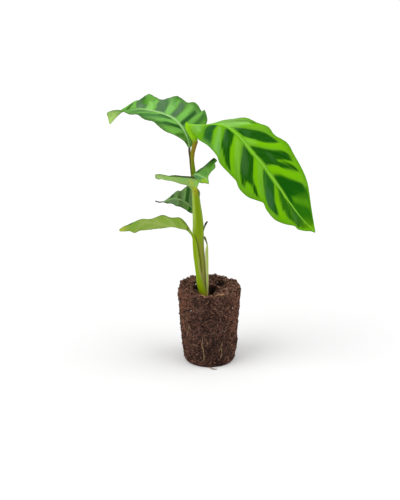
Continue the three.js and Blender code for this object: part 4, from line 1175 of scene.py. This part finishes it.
def on_side(angle, height, out):
    radius = float(plug_radius(angle, min(max(height, 0.5), PLUG_HEIGHT - 1))) + out
    return (radius * math.cos(angle), radius * math.sin(angle), max(height, 0.4))


def on_top(x, y, out):
    return (x, y, float(plug_top(x, y)) + out)


def in_pit(x, y):
    return any(math.hypot(x - pit_x, y - pit_y) < 0.75 * size for pit_x, pit_y, size in PITS)


def side_threads(random, count, length, thickness, lift):
    """Short curved threads that lie over the side in every direction."""
    paths = []
    for number in range(count):
        bend = 1.6 * (next(random) - 0.5)
        heading = math.pi * next(random) * (1 if number % 3 else 0.5)
        step = length * (0.4 + next(random)) / 7
        rise = lift * next(random)
        angle = 2 * math.pi * next(random)
        height = 1.5 + (PLUG_HEIGHT - 3) * next(random)
        path = []
        for k in range(7):
            path.append(on_side(angle, height, 0.1 + rise * math.sin(math.pi * k / 6)))
            angle += step * math.cos(heading + bend * k / 7) / 22
            height += step * math.sin(heading + bend * k / 7)
            height = min(max(height, 0.6), PLUG_HEIGHT - 0.8)
        paths.append((path, thickness * (0.6 + 0.8 * next(random))))
    return paths


def top_curls(random, count, length, thickness, lift, curl):
    """Curly threads and chips of coir that lie on the top and over its rim."""
    paths = []
    for _ in range(count):
        heading, turn = 2 * math.pi * next(random), 2 * math.pi * next(random)
        bend = curl * (2 * next(random) - 1)
        step = length * (0.5 + next(random)) / 9
        rise = lift * (0.3 + next(random))
        width = thickness * (0.6 + 0.8 * next(random))
        away = CURL_START * math.sqrt(next(random))
        x, y = away * math.cos(turn), away * math.sin(turn)
        path = []
        for k in range(9):
            if math.hypot(x, y) > TOP_REACH or in_pit(x, y):
                break
            path.append(on_top(x, y, 0.1 + rise * math.sin(math.pi * k / 8)))
            x += step * math.cos(heading + bend * k / 8)
            y += step * math.sin(heading + bend * k / 8)
        if len(path) > 3:
            paths.append((path, width))
    return paths


def grain_shell():
    """Corners and faces of a rough little ball."""
    corners = [(0, 0, 1)]
    for ring, z in ((0, 0.45), (1, -0.4)):
        for k in range(6):
            turn = k * math.pi / 3 + ring * 0.5
            corners.append((0.87 * math.cos(turn), 0.87 * math.sin(turn), z))
    corners.append((0, 0, -1))
    faces = []
    for k in range(6):
        after = (k + 1) % 6
        faces += [(0, 1 + k, 1 + after), (1 + k, 7 + k, 7 + after), (1 + k, 7 + after, 1 + after)]
        faces += [(7 + k, 13, 7 + after)]
    return corners, faces


def grains(name, random, places, material):
    """Small rough grains; each place is a point and a size."""
    corners, shell = grain_shell()
    points, faces = [], []
    for place, size in places:
        start = len(points)
        stretch = [0.7 + 0.6 * next(random) for _ in range(3)]
        for corner in corners:
            jitter = 0.8 + 0.4 * next(random)
            points.append([place[i] + size * corner[i] * stretch[i] * jitter for i in range(3)])
            points[-1][2] = max(points[-1][2], 0.05)
        faces.extend([[corner + start for corner in face] for face in shell])
    plug_mesh(name, points, faces, material)


def grain_places(random, count, smallest, largest, top_share, inner=0.0):
    """Places pressed into the side, and into the top beyond the inner radius."""
    places = []
    for _ in range(count):
        size = smallest + (largest - smallest) * next(random) ** 2
        if next(random) < top_share:
            turn = 2 * math.pi * next(random)
            away = math.sqrt(inner ** 2 + (GRAIN_REACH ** 2 - inner ** 2) * next(random))
            x, y = away * math.cos(turn), away * math.sin(turn)
            if not in_pit(x, y):
                places.append((on_top(x, y, 0.05 * size), size))
        else:
            height = 1.5 + (PLUG_HEIGHT - 3) * next(random)
            places.append((on_side(2 * math.pi * next(random), height, -0.3 * size), size))
    return places


def surface_root(stations):
    """A root that wanders over the side through its stations."""
    places, _ = through(stations, np.linspace(0, 1, ROOT_STEPS))
    path = []
    for degrees, height in places:
        wander = 1.5 * noise.noise(Vector((degrees * 0.3, height * 0.6, 3)))
        path.append(on_side(math.radians(degrees + wander), height, 0.3))
    return (path, ROOT_THICKNESS)


def shred(start, end, rise):
    """A shred of wood that arches over the top from start to end."""
    path = []
    for share in np.linspace(0, 1, 7):
        x, y = (a + (b - a) * share for a, b in zip(start, end))
        path.append(on_top(x, y, 0.4 + rise * math.sin(math.pi * share)))
    return (path, SHRED_THICKNESS)


def make_plug():
    materials = {
        "coir": coir_material("coir", (40, 25, 20), (110, 74, 62), (178, 134, 114)),
        "clod": coir_material("clod", (48, 32, 25), (126, 88, 70), (186, 146, 120)),
    }
    plug_body(materials["coir"])
    for name, tones in TONES.items():
        scale = {"scale": WOOD_GRAIN} if name == "wood" else {}
        materials[name] = grain_material(name, tones, **scale)
    random = random_from(LITTER_SEED)
    for name, (kind, *amounts) in SIDE_THREADS.items():
        strands(name, side_threads(random, *amounts), materials[kind])
    for name, (kind, sides, flat, *amounts) in TOP_CURLS.items():
        strands(name, top_curls(random, *amounts), materials[kind], sides, flat)
    strands("wood_shreds", [shred(*ends) for ends in SHREDS], materials["wood"], 6, SHRED_FLATNESS)
    for name, (kind, *amounts) in GRAINS.items():
        grains(name, random, grain_places(random, *amounts), materials[kind])
    pale = [(on_side(math.radians(turn), height, 0.1), size) for turn, height, size in SIDE_GRAINS]
    pale += [(on_top(x, y, 0.4), size) for x, y, size in TOP_GRAINS]
    pale += grain_places(random, *SCATTERED_GRAINS)
    grains("perlite_grains", random, pale, materials["perlite"])
    roots = [surface_root(stations) for stations in SURFACE_ROOTS]
    creeping, _ = through(CREEPING_ROOT, np.linspace(0, 1, ROOT_STEPS))
    roots.append((creeping, CREEPING_THICKNESS))
    strands("roots", roots, materials["pale_root"], 8)


# Stage

def make_stage():
    """A wide white floor."""
    graph = Graph("floor")
    grain = graph.noise(graph.coordinates("Object"), 8.0, 3.0)
    colour = graph.mix(grain, (0.88, 0.88, 0.88), (0.91, 0.91, 0.91))
    half = 8 / MM
    corners = [(-half, -half, 0), (half, -half, 0), (half, half, 0), (-half, half, 0)]
    floor = mesh_object("floor", corners, [(0, 1, 2, 3)], [graph.finish(colour, 0.9, 0.0)])


def soft_sun(name, direction, strength, softness):
    lamp = bpy.data.lights.new(name, "SUN")
    lamp.energy = strength
    lamp.angle = math.radians(softness)
    holder = bpy.data.objects.new(name, lamp)
    holder.rotation_euler = Vector(direction).to_track_quat("Z", "Y").to_euler()
    bpy.context.scene.collection.objects.link(holder)


def make_lights():
    soft_sun("left_light", (-0.8, -0.4, 1.1), 1.25, 45)
    soft_sun("right_light", (0.9, -0.2, 1.0), 1.0, 55)
    world = bpy.data.worlds.new("studio")
    world.use_nodes = True
    background = world.node_tree.nodes["Background"].inputs
    background["Color"].default_value = (1, 1, 1, 1)
    background["Strength"].default_value = 0.64
    bpy.context.scene.world = world
    bpy.context.scene.view_settings.view_transform = "Standard"


def make_camera():
    lens = bpy.data.cameras.new("camera")
    lens.lens = LENS
    lens.sensor_width = 36
    lens.clip_start = 0.01
    lens.clip_end = 100
    camera = bpy.data.objects.new("camera", lens)
    back = Vector((0, -math.cos(VIEW_ELEVATION), math.sin(VIEW_ELEVATION)))
    camera.location = VIEW_TARGET + back * VIEW_DISTANCE
    camera.rotation_euler = (math.pi / 2 - VIEW_ELEVATION, 0, 0)
    bpy.context.scene.collection.objects.link(camera)
    bpy.context.scene.camera = camera


make_camera()
make_leaves()
make_stalks()
make_plug()
make_stage()
make_lights()
